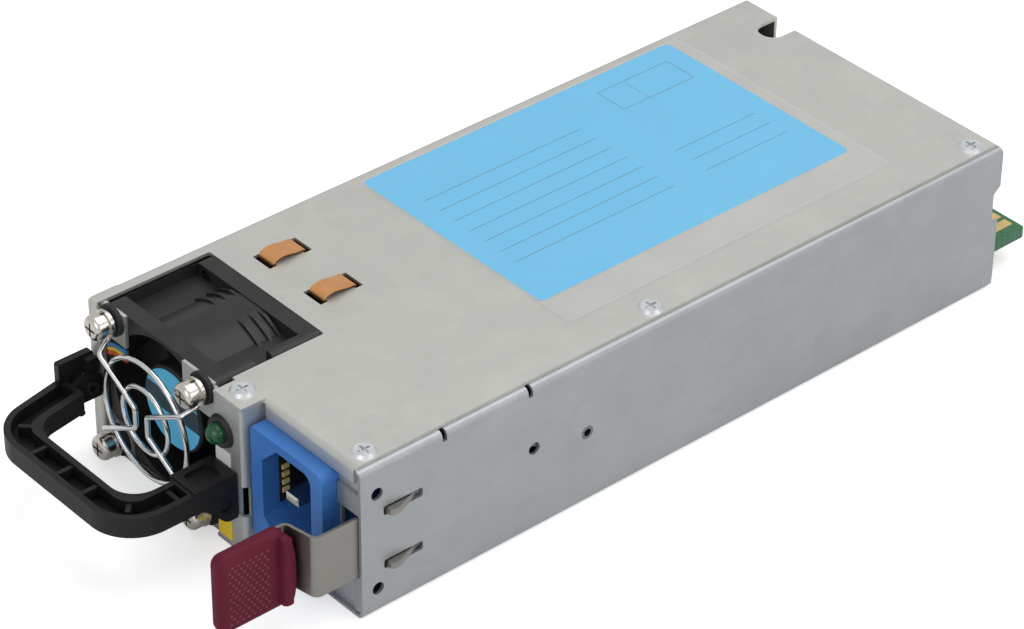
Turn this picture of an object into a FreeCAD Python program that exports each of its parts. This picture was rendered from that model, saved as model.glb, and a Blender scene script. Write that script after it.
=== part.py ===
import FreeCAD, Part
import Sketcher
import math
import os

from FreeCAD import Placement, Rotation, Vector

# A hot swap server power supply: a folded sheet-steel case with a 40 mm fan, a fixed pull handle,
# an appliance inlet and a sprung side latch at its front, and a card-edge tongue at its rear.
# Every piece is modelled in a corner frame: x from the left side wall, y from the inlet wall towards
# the rear, z from the underside. The shared placement then moves the origin to the underside's centre.

# Driving sizes, in millimetres. Each row is a cell of the sheet: alias, number, meaning.
SIZES = [
    ("body_width", 86.0, "width across the side walls"),
    ("body_depth", 189.0, "inlet wall to rear"),
    ("body_height", 39.0, "underside to top"),
    ("fan_step", 5.6, "how far the fan region stands forward of the inlet wall"),
    ("gauge", 0.8, "sheet steel thickness"),
    ("bend", 0.7, "inner bend radius of the sheet"),
    ("seam", 0.1, "gap between sheets that meet"),
    ("cover_inset", 1.6, "side wall face to cover edge, where the bend shows"),
    ("lip_height", 9.0, "height of the tray's left lip"),
    ("top_flange", 9.0, "width of the side wall's inward flange"),
    ("panel_right", 53.8, "right face of the indicator panel"),
    ("panel_left", 43.9, "left edge of the indicator panel"),
    ("tab_setback", 1.2, "fan tabs behind the panel face"),
    ("tab_reach", 10.0, "width and height of a fan tab"),
    ("left_strip", 3.2, "width of the front strip at the left wall"),
    ("fan_size", 40.0, "fan frame width"),
    ("fan_centre", 23.6, "fan axis from the left wall"),
    ("fan_depth", 28.0, "fan frame depth"),
    ("fan_pitch", 32.0, "fan screw pitch"),
    ("pattern_rise", 0.45, "fan screw pattern above the fan's axis"),
    ("fan_corner_radius", 2.5, "fan frame corner radius"),
    ("duct_radius", 18.2, "fan duct"),
    ("tip_gap", 0.6, "blade tip to duct"),
    ("hub_radius", 10.4, "rotor hub"),
    ("hub_depth", 21.0, "rotor hub depth"),
    ("hub_wall", 0.9, "rotor hub wall"),
    ("hub_setback", 2.2, "rotor face behind the fan's front"),
    ("blade_count", 7.0, "rotor blades"),
    ("blade_thick", 1.0, "blade thickness"),
    ("shaft_radius", 1.0, "fan shaft"),
    ("shaft_gap", 0.04, "running clearance of the shaft"),
    ("bearing_radius", 2.6, "outer radius of a fan bearing"),
    ("grommet_radius", 3.8, "rubber grommet flange"),
    ("grommet_flange", 1.0, "grommet flange thickness"),
    ("grommet_neck", 2.1, "grommet neck radius"),
    ("guard_wire", 1.2, "guard wire diameter"),
    ("guard_outer", 14.6, "radius of the guard's outer ring"),
    ("guard_inner", 8.0, "radius of the guard's inner ring"),
    ("screw_radius", 1.5, "fan screw shank"),
    ("screw_head_radius", 3.0, "fan screw head"),
    ("screw_head_depth", 2.6, "fan screw head height"),
    ("washer_thick", 0.5, "fan screw washer"),
    ("spring_washer", 1.0, "split washer under a fan screw head"),
    ("handle_width", 52.0, "handle across its arms"),
    ("handle_front", 35.7, "handle reach in front of the inlet wall"),
    ("handle_bar", 7.4, "width of the handle's bar"),
    ("handle_thick", 5.0, "height of the handle's bar"),
    ("handle_top", 20.9, "height of the handle's upper face"),
    ("handle_corner", 11.0, "outer corner radius of the handle"),
    ("handle_wall", 1.5, "wall of the handle's channel"),
    ("handle_channel", 3.2, "depth of the handle's channel"),
    ("handle_gap", 0.3, "handle ends to the panels"),
    ("pin_radius", 1.6, "handle pin"),
    ("pin_setback", 8.9, "handle pins in front of the inlet wall"),
    ("bezel_width", 23.8, "inlet bezel"),
    ("bezel_height", 28.6, "inlet bezel"),
    ("bezel_reach", 3.8, "inlet bezel in front of the inlet wall"),
    ("cavity_width", 16.3, "inlet cavity"),
    ("cavity_height", 24.4, "inlet cavity"),
    ("cavity_chamfer", 4.9, "inlet cavity's cut corners"),
    ("cavity_depth", 16.2, "inlet cavity from the bezel's face"),
    ("inlet_height", 20.2, "inlet axis above the underside"),
    ("blade_width", 4.0, "inlet pin width"),
    ("blade_gauge", 2.0, "inlet pin thickness"),
    ("leaf_gauge", 0.7, "latch spring thickness"),
    ("leaf_height", 15.4, "latch spring height"),
    ("leaf_bottom", 11.1, "latch spring's lower edge"),
    ("leaf_rear", 66.0, "rear end of the latch spring"),
    ("leaf_front", 11.6, "latch spring's cross piece in front of the inlet wall"),
    ("leaf_bend", 2.0, "latch spring's large bend"),
    ("tooth_reach", 1.7, "latch teeth outside the side wall"),
    ("grip_length", 20.6, "latch grip"),
    ("grip_height", 19.6, "latch grip"),
    ("grip_thick", 4.0, "latch grip"),
    ("grip_left", 75.0, "latch grip's left face"),
    ("clip_width", 5.5, "ground clip"),
    ("clip_gauge", 0.25, "ground clip thickness"),
    ("clip_rise", 1.5, "ground clip's crown above the cover"),
    ("clip_drop", 0.5, "ground clip's hooks below the cover"),
    ("slot_width", 2.0, "slot for a ground clip"),
    ("led_radius", 2.5, "indicator lens"),
    ("led_bezel_radius", 4.0, "indicator holder"),
    ("board_gauge", 2.2, "circuit board thickness"),
    ("board_height", 5.9, "board's underside above the case's underside"),
    ("tongue_reach", 15.0, "card-edge tongue behind the case"),
    ("tongue_width", 44.0, "card-edge tongue"),
    ("tongue_right", 82.3, "right edge of the tongue"),
    ("label_width", 61.0, "rating label"),
    ("label_length", 93.2, "rating label"),
    ("label_gauge", 0.12, "rating label thickness"),
]


# ---------------------------------------------------------------------------------------------
# The sheet and the values read from it
# ---------------------------------------------------------------------------------------------

doc = FreeCAD.newDocument("server_power_supply")
sheet = doc.addObject("Spreadsheet::Sheet", "sizes")
for row, (alias, number, meaning) in enumerate(SIZES, start=1):
    sheet.set("A%d" % row, alias)
    sheet.set("B%d" % row, str(number))
    sheet.set("C%d" % row, meaning)
    sheet.setAlias("B%d" % row, alias)
doc.recompute()


class Dim:
    """A size that keeps its expression on the sheet beside its number."""

    def __init__(self, text, value):
        self.text = text
        self.value = value

    def __float__(self):
        return float(self.value)

    def __neg__(self):
        return Dim("(-%s)" % self.text, -self.value)

    def __add__(self, other):
        other = dim(other)
        return Dim("(%s + %s)" % (self.text, other.text), self.value + other.value)

    def __sub__(self, other):
        other = dim(other)
        return Dim("(%s - %s)" % (self.text, other.text), self.value - other.value)

    def __mul__(self, other):
        other = dim(other)
        return Dim("(%s * %s)" % (self.text, other.text), self.value * other.value)

    def __truediv__(self, other):
        other = dim(other)
        return Dim("(%s / %s)" % (self.text, other.text), self.value / other.value)

    def __radd__(self, other):
        return dim(other) + self

    def __rsub__(self, other):
        return dim(other) - self

    def __rmul__(self, other):
        return dim(other) * self


def dim(value):
    """A Dim for a plain number; a Dim passes through."""
    if isinstance(value, Dim):
        return value
    return Dim("%.6g" % value, float(value))


class Sizes:
    """The sheet's cells by alias, such as size.gauge."""


size = Sizes()
for alias, _number, _meaning in SIZES:
    setattr(size, alias, Dim("sizes." + alias, float(sheet.get(alias))))


# ---------------------------------------------------------------------------------------------
# Sketch geometry
# ---------------------------------------------------------------------------------------------

def point(pair):
    return Vector(float(pair[0]), float(pair[1]), 0.0)


def polygon(points):
    """Straight edges round a closed outline."""
    corners = [point(p) for p in points]
    pairs = zip(corners, corners[1:] + corners[:1])
    return [Part.LineSegment(a, b) for a, b in pairs]


def rectangle(left, bottom, right, top):
    return polygon([(left, bottom), (right, bottom), (right, top), (left, top)])


def circle(across, up, radius):
    return [Part.Circle(point((across, up)), Vector(0, 0, 1), float(radius))]


def rounded(points, radius):
    """A closed outline with its corners rounded. radius is one value, or one for each corner."""
    corners = [point(p) for p in points]
    count = len(corners)
    radii = radius if isinstance(radius, (list, tuple)) else [radius] * count
    return rounded_chain(corners, [float(r) for r in radii], closed=True)


def rounded_chain(corners, radii, closed):
    """Lines and tangent arcs along corners. An open chain keeps its two end points."""
    count = len(corners)
    starts, ends, arcs = [], [], []
    for index, corner in enumerate(corners):
        before = corners[index - 1]
        after = corners[(index + 1) % count]
        at_end = not closed and index in (0, count - 1)
        into = (corner - before).normalize()
        out = (after - corner).normalize()
        turn = math.atan2(into.cross(out).z, into.dot(out))
        if at_end or radii[index] <= 0 or abs(turn) < 1e-6:
            starts.append(corner)
            ends.append(corner)
            arcs.append(None)
            continue
        setback = radii[index] * math.tan(abs(turn) / 2)
        first = corner - into * setback
        last = corner + out * setback
        side = Vector(-into.y, into.x, 0) * math.copysign(1, turn)
        centre = first + side * radii[index]
        middle = centre + (corner - centre).normalize() * radii[index]
        starts.append(first)
        ends.append(last)
        arcs.append(Part.ArcOfCircle(first, middle, last))
    edges = []
    for index in range(count if closed else count - 1):
        following = (index + 1) % count
        if arcs[index]:
            edges.append(arcs[index])
        if ends[index].distanceToPoint(starts[following]) > 1e-6:
            edges.append(Part.LineSegment(ends[index], starts[following]))
    return edges


def strip(path, thick, radius):
    """The outline of a folded strip: path is its one face, and the material lies to its left."""
    nodes = [point(p) for p in path]
    thick = float(thick)
    radius = float(radius)
    steps = [(b - a).normalize() for a, b in zip(nodes, nodes[1:])]
    sides = [Vector(-d.y, d.x, 0) for d in steps]
    offset = [nodes[0] + sides[0] * thick]
    turns = [0.0]
    for before, after, side, node in zip(steps, steps[1:], sides, nodes[1:]):
        turn = math.atan2(before.cross(after).z, before.dot(after))
        slide = math.tan(turn / 2) * thick
        offset.append(node + side * thick - before * slide)
        turns.append(turn)
    offset.append(nodes[-1] + sides[-1] * thick)
    turns.append(0.0)
    near = [0.0 if not t else radius + (thick if t > 0 else 0.0) for t in turns]
    far = [0.0 if not t else radius + (0.0 if t > 0 else thick) for t in turns]
    face = rounded_chain(nodes, near, closed=False)
    back = rounded_chain(offset[::-1], far[::-1], closed=False)
    return (face + [Part.LineSegment(nodes[-1], offset[-1])]
            + back + [Part.LineSegment(offset[0], nodes[0])])


# ---------------------------------------------------------------------------------------------
# Bodies, pads and pockets
# ---------------------------------------------------------------------------------------------

def place(piece):
    """Moves a piece from the corner frame to the part's own origin."""
    piece.Placement = Placement(Vector(-float(size.body_width) / 2, -float(size.body_depth) / 2, 0), Rotation())
    piece.setExpression("Placement.Base.x", "-sizes.body_width / 2")
    piece.setExpression("Placement.Base.y", "-sizes.body_depth / 2")
    pieces.append(piece)
    return piece


def new_body(name):
    body = doc.addObject("PartDesign::Body", name)
    body.Label = name
    return place(body)


def new_sketch(body, role, offset, outlines):
    """A sketch on one of the body's own origin planes, moved along the plane's normal."""
    sketch = body.newObject("Sketcher::SketchObject", body.Name + "_sketch")
    plane = next(item for item in body.Origin.OriginFeatures if item.Role == role)
    sketch.AttachmentSupport = (plane, "")
    sketch.MapMode = "FlatFace"
    sketch.AttachmentOffset = Placement(Vector(0, 0, float(offset)), Rotation())
    sketch.setExpression("AttachmentOffset.Base.z", dim(offset).text)
    for outline in outlines:
        first = sketch.GeometryCount
        sketch.addGeometry(outline, False)
        if len(outline) > 1:
            join_outline(sketch, first, outline)
    return sketch


def join_outline(sketch, first, outline):
    """Ties each edge's end to the start of the next."""
    count = len(outline)
    for index in range(count):
        here = first + index
        there = first + (index + 1) % count
        corner = outline[(index + 1) % count].StartPoint
        ends = [end_number(sketch, number, corner) for number in (here, there)]
        sketch.addConstraint(Sketcher.Constraint("Coincident", here, ends[0], there, ends[1]))


def end_number(sketch, number, near):
    """1 for the start point of a sketch edge and 2 for its end, whichever lies at near."""
    gaps = [sketch.getPoint(number, end).distanceToPoint(near) for end in (1, 2)]
    return 1 + gaps.index(min(gaps))


def extrude(body, kind, role, offset, length, outlines):
    """A pad or a pocket, bound to the sheet, that must change the body's volume."""
    before = body.Shape.Volume if body.Shape and not body.Shape.isNull() else 0.0
    sketch = new_sketch(body, role, offset, outlines)
    feature = body.newObject("PartDesign::" + kind, body.Name + "_" + kind.lower())
    feature.Profile = sketch
    feature.Length = float(length)
    feature.setExpression("Length", dim(length).text)
    doc.recompute()
    change = body.Shape.Volume - before
    if kind == "Pad" and change <= 0 or kind == "Pocket" and change >= 0:
        raise RuntimeError("%s %s changed nothing" % (body.Label, feature.Name))
    return feature


def pad_up(body, low, high, *outlines):
    """Outlines in x, y between two heights."""
    return extrude(body, "Pad", "XY_Plane", low, dim(high) - low, outlines)


def pad_back(body, front, rear, *outlines):
    """Outlines in x, z between two depths. The plane's normal points to the front."""
    return extrude(body, "Pad", "XZ_Plane", -dim(rear), dim(rear) - front, outlines)


def pad_across(body, left, right, *outlines):
    """Outlines in y, z between two widths."""
    return extrude(body, "Pad", "YZ_Plane", left, dim(right) - left, outlines)


def cut_up(body, low, high, *outlines):
    return extrude(body, "Pocket", "XY_Plane", high, dim(high) - low, outlines)


def cut_back(body, front, rear, *outlines):
    return extrude(body, "Pocket", "XZ_Plane", -dim(front), dim(rear) - front, outlines)


def cut_across(body, left, right, *outlines):
    return extrude(body, "Pocket", "YZ_Plane", right, dim(right) - left, outlines)


def round_edges(body, radius, chosen):
    """Fillets the edges of the body's last feature for which chosen(edge) is true."""
    tip = body.Tip
    names = ["Edge%d" % (i + 1) for i, edge in enumerate(tip.Shape.Edges) if chosen(edge)]
    if not names:
        raise RuntimeError("no edges to round on " + body.Label)
    fillet = body.newObject("PartDesign::Fillet", body.Name + "_fillet")
    fillet.Base = (tip, names)
    fillet.Radius = float(radius)
    doc.recompute()
    return fillet


def solid_piece(name, shape):
    """A piece whose form comes from Part's own functions."""
    feature = doc.addObject("Part::Feature", name)
    feature.Label = name
    feature.Shape = Part.makeCompound([shape]) if not shape.Placement.isIdentity() else shape
    return place(feature)


def box(left, right, front, rear, low, high):
    """A plain block between named faces, for use in booleans."""
    sides = [float(right) - float(left), float(rear) - float(front), float(high) - float(low)]
    return Part.makeBox(*sides, Vector(float(left), float(front), float(low)))


def rod(centre, axis, radius, length):
    """A cylinder from centre along axis."""
    return Part.makeCylinder(float(radius), float(length), Vector(*[float(c) for c in centre]), Vector(*axis))


BACK = (0, 1, 0)
FORWARD = (0, -1, 0)
UP = (0, 0, 1)
RIGHT = (1, 0, 0)

pieces = []


# ---------------------------------------------------------------------------------------------
# Places shared by several pieces
# ---------------------------------------------------------------------------------------------

s = size
FIT = s.seam
TOP = s.body_height - s.gauge
WALL_FRONT = s.gauge + s.seam
WALL_REAR = WALL_FRONT + s.gauge
PANEL_FACE = -s.fan_step
TAB_FACE = s.tab_setback - s.fan_step
TAB_REAR = TAB_FACE + s.gauge
FAN_REAR = TAB_REAR + s.fan_depth
FAN_LEFT = s.fan_centre - s.fan_size / 2
FAN_RIGHT = s.fan_centre + s.fan_size / 2
FAN_LOW = s.gauge + s.seam
FAN_HIGH = s.body_height - s.seam
FAN_Z = (FAN_LOW + FAN_HIGH) / 2
PATTERN_Z = FAN_Z + s.pattern_rise
INLET_X = s.panel_right + s.bezel_width / 2 + 0.5
SCREW_LINE = s.body_width - 4.7
SCREW_SPOTS = [(SCREW_LINE, 4.8), (SCREW_LINE, s.body_depth / 2 - 10.6), (SCREW_LINE, s.body_depth - 6.2)]
LED_TAB_SCREW = (s.panel_right - 5.0, PANEL_FACE + 4.3)
COVER_SCREW_RADIUS = 1.5
LED_SPOT = (float(s.panel_right) - 6.9, float(s.body_height) - 9.4)
LATCH_Z = s.leaf_bottom + s.leaf_height / 2
TOOTH_HEIGHTS = [LATCH_Z - 7.0, LATCH_Z + 7.0]
TOOTH_GAUGE = 1.6
TOOTH_FRONT = 6.4
TOOTH_REAR = 16.0
LEAF_FACE = s.body_width - s.gauge - s.seam
RIVET_SPOT = (s.leaf_rear - 3.9, LATCH_Z)
WALL_HOLES = [(4.3, 31.1), (4.3, 6.4), (47.0, LATCH_Z + 3.1)]
HOLE_RADIUS = 1.5
CLIP_CENTRES = {"ground_clip_left": 14.2, "ground_clip_right": 31.9}
CLIP_SLOTS = (31.5, 41.2)
BOARD_TOP = s.board_height + s.board_gauge
HANDLE_LOW = s.handle_top - s.handle_thick
PIN_LEFT_Z = s.handle_top - s.handle_thick / 2
PIN_RIGHT_Z = s.handle_top - 6.6
REAR_FACE = s.body_depth - s.gauge
EAR_LEFT = dim(1.9)
EAR_RIGHT = s.handle_width - 4.2


def fan_corners(pitch):
    """The four corners of a square pattern round the fan's axis, as x and z."""
    half = pitch / 2
    return [(s.fan_centre + i * half, PATTERN_Z + k * half) for i in (-1, 1) for k in (-1, 1)]


# ---------------------------------------------------------------------------------------------
# Sheet-metal case
# ---------------------------------------------------------------------------------------------

def chassis_tray():
    """Floor, left lip, right side wall and its inward flange, folded from one strip."""
    body = new_body("chassis_tray")
    inside = s.gauge + s.seam
    section = strip([(inside, s.lip_height), (inside, 0), (s.body_width, 0),
                     (s.body_width, TOP), (s.body_width - s.top_flange, TOP)], s.gauge, s.bend)
    pad_back(body, PANEL_FACE, s.body_depth, section)
    wide = s.body_width + 1
    cut_up(body, -1, s.body_height, rectangle(s.panel_right, PANEL_FACE - 1, wide, 0))
    cut_up(body, -1, s.lip_height + 3, rectangle(-1, PANEL_FACE - 1, s.panel_left, TAB_FACE))
    flange_ends = [rectangle(s.body_width - s.top_flange - 1, -1, s.body_width - s.cover_inset, WALL_FRONT),
                   rectangle(s.body_width - s.top_flange - 1, REAR_FACE - s.seam,
                             s.body_width - s.cover_inset, s.body_depth + 1)]
    cut_up(body, TOP - 2 * s.gauge, s.body_height, *flange_ends)
    beside_bezel = INLET_X + s.bezel_width / 2 + 0.2
    corner = s.body_width
    pad_up(body, s.leaf_bottom + s.leaf_height + 0.4, TOP - 6.2,
           strip([(beside_bezel, 0), (corner, 0), (corner, 3)], s.gauge, s.seam))
    pad_up(body, 1.6, s.leaf_bottom - 0.5,
           strip([(corner - 2.5, 0), (corner, 0), (corner, 3)], s.gauge, s.seam))
    holes = [circle(y, z, HOLE_RADIUS) for y, z in WALL_HOLES]
    holes.append(circle(RIVET_SPOT[0], RIVET_SPOT[1], HOLE_RADIUS + FIT))
    slots = [rounded([(TOOTH_FRONT - 0.4, z - 1.1), (TOOTH_REAR + 0.4, z - 1.1),
                      (TOOTH_REAR + 0.4, z + 1.1), (TOOTH_FRONT - 0.4, z + 1.1)], 0.5)
             for z in TOOTH_HEIGHTS]
    dip = polygon([(s.body_depth - 2, 18.5), (s.body_depth + 1, 18.5),
                   (s.body_depth + 1, 29), (s.body_depth - 2, 26.5)])
    reliefs = [rectangle(y - 0.6, TOP - 2.4, y + 0.6, TOP + 1) for y in (22.4, 45.8)]
    cut_across(body, s.body_width - s.gauge - 1, wide, *holes, *slots, dip)
    cut_across(body, s.body_width - s.top_flange - 1, wide, *reliefs)
    threads = [circle(x, y, COVER_SCREW_RADIUS) for x, y in SCREW_SPOTS]
    cut_up(body, TOP - 2 * s.gauge, s.body_height, *threads)
    return body


def top_cover():
    """Top plate, left wall with the front strip and its two fan tabs, front and rear flanges."""
    body = new_body("top_cover")
    edge = s.body_width - s.cover_inset
    section = strip([(edge, s.body_height), (0, s.body_height), (0, 0.2)], s.gauge, s.bend)
    pad_back(body, PANEL_FACE, s.body_depth, section)
    front = PANEL_FACE - 1
    over = s.body_height + 1
    tab = 9.0
    cut_up(body, TOP - 3, over, rectangle(s.panel_right + s.seam, front, edge + 1, 0))
    fan_notch = rounded([(FAN_LEFT - s.seam, front), (FAN_RIGHT + s.seam, front),
                         (FAN_RIGHT + s.seam, FAN_REAR + s.seam),
                         (FAN_LEFT - s.seam, FAN_REAR + s.seam)], [0, 0, 0.6, 0.6])
    cut_up(body, TOP - 0.01, over, fan_notch)
    cut_up(body, TOP - 0.01, over, rectangle(FAN_RIGHT, front, s.panel_right - tab, 0))
    low_front = s.inlet_height + s.bezel_height / 2 + s.seam
    pad_back(body, 0, s.gauge, rectangle(s.panel_right + 1.2, low_front, edge - 0.5, TOP + 0.3))
    rear_low = 18.6
    pad_back(body, REAR_FACE, s.body_depth, rectangle(s.gauge, rear_low, edge - 0.5, TOP + 0.3))
    lap = s.left_strip
    fold = strip([(0, 2), (0, PANEL_FACE), (lap, PANEL_FACE), (lap + 0.4, TAB_FACE),
                  (s.tab_reach + 1.6, TAB_FACE)], s.gauge, 0.3)
    pad_up(body, s.gauge + s.seam, TOP + 0.2, fold)
    pad_back(body, TAB_FACE, TAB_REAR, rectangle(lap + 0.8, TOP - 2, s.tab_reach + 1.6, s.body_height))
    far = s.tab_reach + 3
    between = rounded([(lap, s.tab_reach), (lap + 2, s.tab_reach - 1.6), (far, s.tab_reach - 1.6),
                       (far, TOP - s.tab_reach + 2.4), (lap + 2, TOP - s.tab_reach + 2.4),
                       (lap, TOP - s.tab_reach)], [1, 1, 0, 0, 1, 1])
    cut_back(body, front, TAB_REAR + 0.2, between)
    grommets = [circle(x, z, s.grommet_neck) for x, z in fan_corners(s.fan_pitch)[:2]]
    cut_back(body, TAB_FACE - 0.2, TAB_REAR + 0.2, *grommets)
    ear = rounded([(PANEL_FACE + 0.1, PIN_LEFT_Z - 2.7), (-s.pin_setback - 2.4, PIN_LEFT_Z - 2.7),
                   (-s.pin_setback - 2.4, PIN_LEFT_Z + 2.7), (PANEL_FACE + 0.1, PIN_LEFT_Z + 2.7)],
                  [0, 2.2, 2.2, 0])
    pad_across(body, EAR_LEFT, EAR_LEFT + s.gauge, ear)
    cut_across(body, EAR_LEFT - 0.1, EAR_LEFT + s.gauge + 0.1,
               circle(-s.pin_setback, PIN_LEFT_Z, s.pin_radius))
    half = s.clip_width / 2 + 0.3
    slots = []
    for centre in CLIP_CENTRES.values():
        for y in CLIP_SLOTS:
            slots.append(rectangle(centre - half, y - s.slot_width / 2, centre + half, y + s.slot_width / 2))
    cut_up(body, TOP - 0.5, over, *slots)
    screws = [circle(x, y, COVER_SCREW_RADIUS + FIT) for x, y in SCREW_SPOTS + [LED_TAB_SCREW]]
    cut_up(body, TOP - 0.5, over, *screws)
    notch = rounded([(11.5, s.body_depth - 8.5), (18.5, s.body_depth - 8.5),
                     (18.5, s.body_depth + 1), (11.5, s.body_depth + 1)], [3.4, 3.4, 0, 0])
    cut_up(body, rear_low - 1, over, notch)
    vents = []
    for row in range(3):
        for column in range(9):
            left = 22.0 + column * 6.4
            low = rear_low + 3.2 + row * 5.0
            vents.append(rounded([(left, low), (left + 4.8, low), (left + 4.8, low + 3), (left, low + 3)], 1.4))
    cut_back(body, REAR_FACE - 0.5, s.body_depth + 0.5, *vents)
    outer = s.bend + s.gauge

    def front_or_rear_fold(edge_line):
        bounds = edge_line.BoundBox
        along = bounds.XLength > 20 and bounds.YLength < 0.01 and bounds.ZLength < 0.01
        at_top = abs(bounds.ZMax - float(s.body_height)) < 0.01
        at_end = min(abs(bounds.YMin), abs(bounds.YMin - float(s.body_depth))) < 0.01
        return along and at_top and at_end

    round_edges(body, outer, front_or_rear_fold)
    return body


def front_panel():
    """Indicator panel, its side and the inlet wall, folded from one strip, with two fan tabs."""
    body = new_body("front_panel")
    joggle = s.panel_left - 0.4
    wall_end = s.body_width - s.gauge - s.seam
    plan = strip([(s.fan_centre + s.fan_pitch / 2 - 7.6, TAB_FACE), (joggle, TAB_FACE),
                  (s.panel_left, PANEL_FACE), (s.panel_right, PANEL_FACE),
                  (s.panel_right, WALL_FRONT), (wall_end, WALL_FRONT)], s.gauge, 0.4)
    pad_up(body, s.gauge, TOP, plan)
    pad_back(body, TAB_FACE, TAB_REAR, rectangle(s.fan_centre + s.fan_pitch / 2 - 7.6, TOP - 1,
                                                 joggle - 0.6, s.body_height - s.seam))
    far = s.fan_centre + s.fan_pitch / 2 - 9
    low = s.gauge + s.tab_reach - 1.0
    high = TOP - s.tab_reach + 1.0
    between = rounded([(joggle, low + 2), (joggle, high - 2), (joggle - 2, high), (far, high),
                       (far, low), (joggle - 2, low)], [1, 1, 1, 0, 0, 1])
    cut_back(body, TAB_FACE - 0.3, TAB_REAR + 0.3, between)
    grommets = [circle(x, z, s.grommet_neck) for x, z in fan_corners(s.fan_pitch)[2:]]
    cut_back(body, TAB_FACE - 0.2, TAB_REAR + 0.2, *grommets)
    cut_back(body, PANEL_FACE - 0.2, TAB_REAR + 0.1,
             circle(LED_SPOT[0], LED_SPOT[1], s.led_radius + 0.35))
    half_width = s.bezel_width / 2 - 1.6
    half_height = s.bezel_height / 2 - 1.6
    window = rectangle(INLET_X - half_width, s.inlet_height - half_height,
                       INLET_X + half_width, s.inlet_height + half_height)
    right = s.panel_right + s.bezel_width + 1.0
    latch = rectangle(right, s.leaf_bottom - 0.8, wall_end + 1, s.leaf_bottom + s.leaf_height + 0.6)
    flange_corner = rectangle(s.body_width - s.top_flange - 0.3, TOP - s.gauge - s.seam, wall_end + 1, TOP + 1)
    cut_back(body, WALL_FRONT - 0.3, WALL_REAR + 0.3, window, latch, flange_corner)
    corner = s.panel_right - 1.4
    cut_up(body, 10.4, 18.2, rectangle(corner, PANEL_FACE - 1, s.panel_right + 1, PANEL_FACE + 1.8))
    lid = rounded([(s.panel_right - 9, PANEL_FACE + s.gauge - 0.05),
                   (s.panel_right - s.gauge + 0.05, PANEL_FACE + s.gauge - 0.05),
                   (s.panel_right - s.gauge + 0.05, WALL_FRONT - 0.2), (s.panel_right - 9, WALL_FRONT - 0.2)],
                  [0, 0, 0, 1])
    pad_up(body, TOP - s.gauge, TOP, lid)
    cut_up(body, TOP - 2 * s.gauge, TOP + 0.2, circle(LED_TAB_SCREW[0], LED_TAB_SCREW[1], COVER_SCREW_RADIUS))
    ear = rounded([(PANEL_FACE + 0.1, PIN_RIGHT_Z - 3.4), (-s.pin_setback - 2.6, PIN_RIGHT_Z - 3.4),
                   (-s.pin_setback - 2.6, PIN_RIGHT_Z + 3.4), (PANEL_FACE + 0.1, PIN_RIGHT_Z + 3.4)],
                  [0, 2.2, 2.2, 0])
    pad_across(body, EAR_RIGHT, EAR_RIGHT + s.gauge, ear)
    cut_across(body, EAR_RIGHT - 0.3, EAR_RIGHT + s.gauge + 0.3,
               circle(-s.pin_setback, PIN_RIGHT_Z, s.pin_radius))
    return body


def rear_panel():
    """Lower rear wall with the opening for the card-edge tongue."""
    body = new_body("rear_panel")
    high = 18.3
    right = s.body_width - s.gauge - s.seam
    pad_back(body, REAR_FACE, s.body_depth,
             rounded([(WALL_REAR, s.gauge), (right, s.gauge), (right, high), (WALL_REAR, high)],
                     [s.bend + s.seam, s.bend + s.seam, 0, 0]))
    tongue_left = s.tongue_right - s.tongue_width
    opening = rounded([(tongue_left - 1, s.board_height - 1.4), (s.tongue_right + 1, s.board_height - 1.4),
                       (s.tongue_right + 1, BOARD_TOP + 2.2), (tongue_left - 1, BOARD_TOP + 2.2)], 0.8)
    vents = []
    for column in range(4):
        left = 7.0 + column * 6.8
        vents.append(rounded([(left, 6), (left + 4.8, 6), (left + 4.8, 13), (left, 13)], 1.4))
    cut_back(body, REAR_FACE - 0.3, s.body_depth + 0.3, opening, *vents)
    lap = s.gauge
    pad_up(body, s.gauge, s.gauge + lap,
           rectangle(12, REAR_FACE - 6, s.body_width - 12, REAR_FACE + 0.1))
    return body


def cover_screws():
    """Flat wafer-head screws with a cross recess: four separate solids."""
    screws = []
    for x, y in SCREW_SPOTS + [LED_TAB_SCREW]:
        x, y = float(x), float(y)
        head = Part.makeCone(2.95, 2.3, 0.7, Vector(x, y, float(s.body_height)))
        shank = rod((x, y, float(s.body_height) - 4.0), UP, COVER_SCREW_RADIUS - 0.02, 4.0)
        screws.append(cross_recess(head.fuse(shank), Vector(x, y, float(s.body_height) + 0.7), UP, 1.5, 0.6))
    return solid_piece("cover_screws", Part.makeCompound(screws))


def cross_recess(screw, tip, axis, reach, depth):
    """Cuts a cross slot, reach from the centre, into the screw's face at tip."""
    half = 0.28
    bars = []
    for long, short in ((reach, half), (half, reach)):
        bar = Part.makeBox(2 * long, 2 * short, depth + 0.5, Vector(-long, -short, -depth))
        bars.append(bar)
    tool = bars[0].fuse(bars[1])
    tool.Placement = Placement(tip, Rotation(Vector(0, 0, 1), Vector(*axis)))
    return screw.cut(tool)


def ground_clip(name, centre):
    """A sprung copper finger, hooked under the cover at both of its slots."""
    body = new_body(name)
    front = CLIP_SLOTS[0] - float(s.clip_gauge) / 2
    rear = CLIP_SLOTS[1] + float(s.clip_gauge) / 2
    low = TOP - s.clip_drop
    middle = (front + rear) / 2
    shoulder = s.body_height + 0.9
    path = [(rear - 2.4, low), (rear, low), (rear, shoulder), (middle, s.body_height + s.clip_rise),
            (front, shoulder), (front, low), (front + 2.4, low)]
    pad_across(body, centre - s.clip_width / 2, centre + s.clip_width / 2,
               strip(path, s.clip_gauge, 0.2))
    return body


# ---------------------------------------------------------------------------------------------
# Fan
# ---------------------------------------------------------------------------------------------

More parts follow.
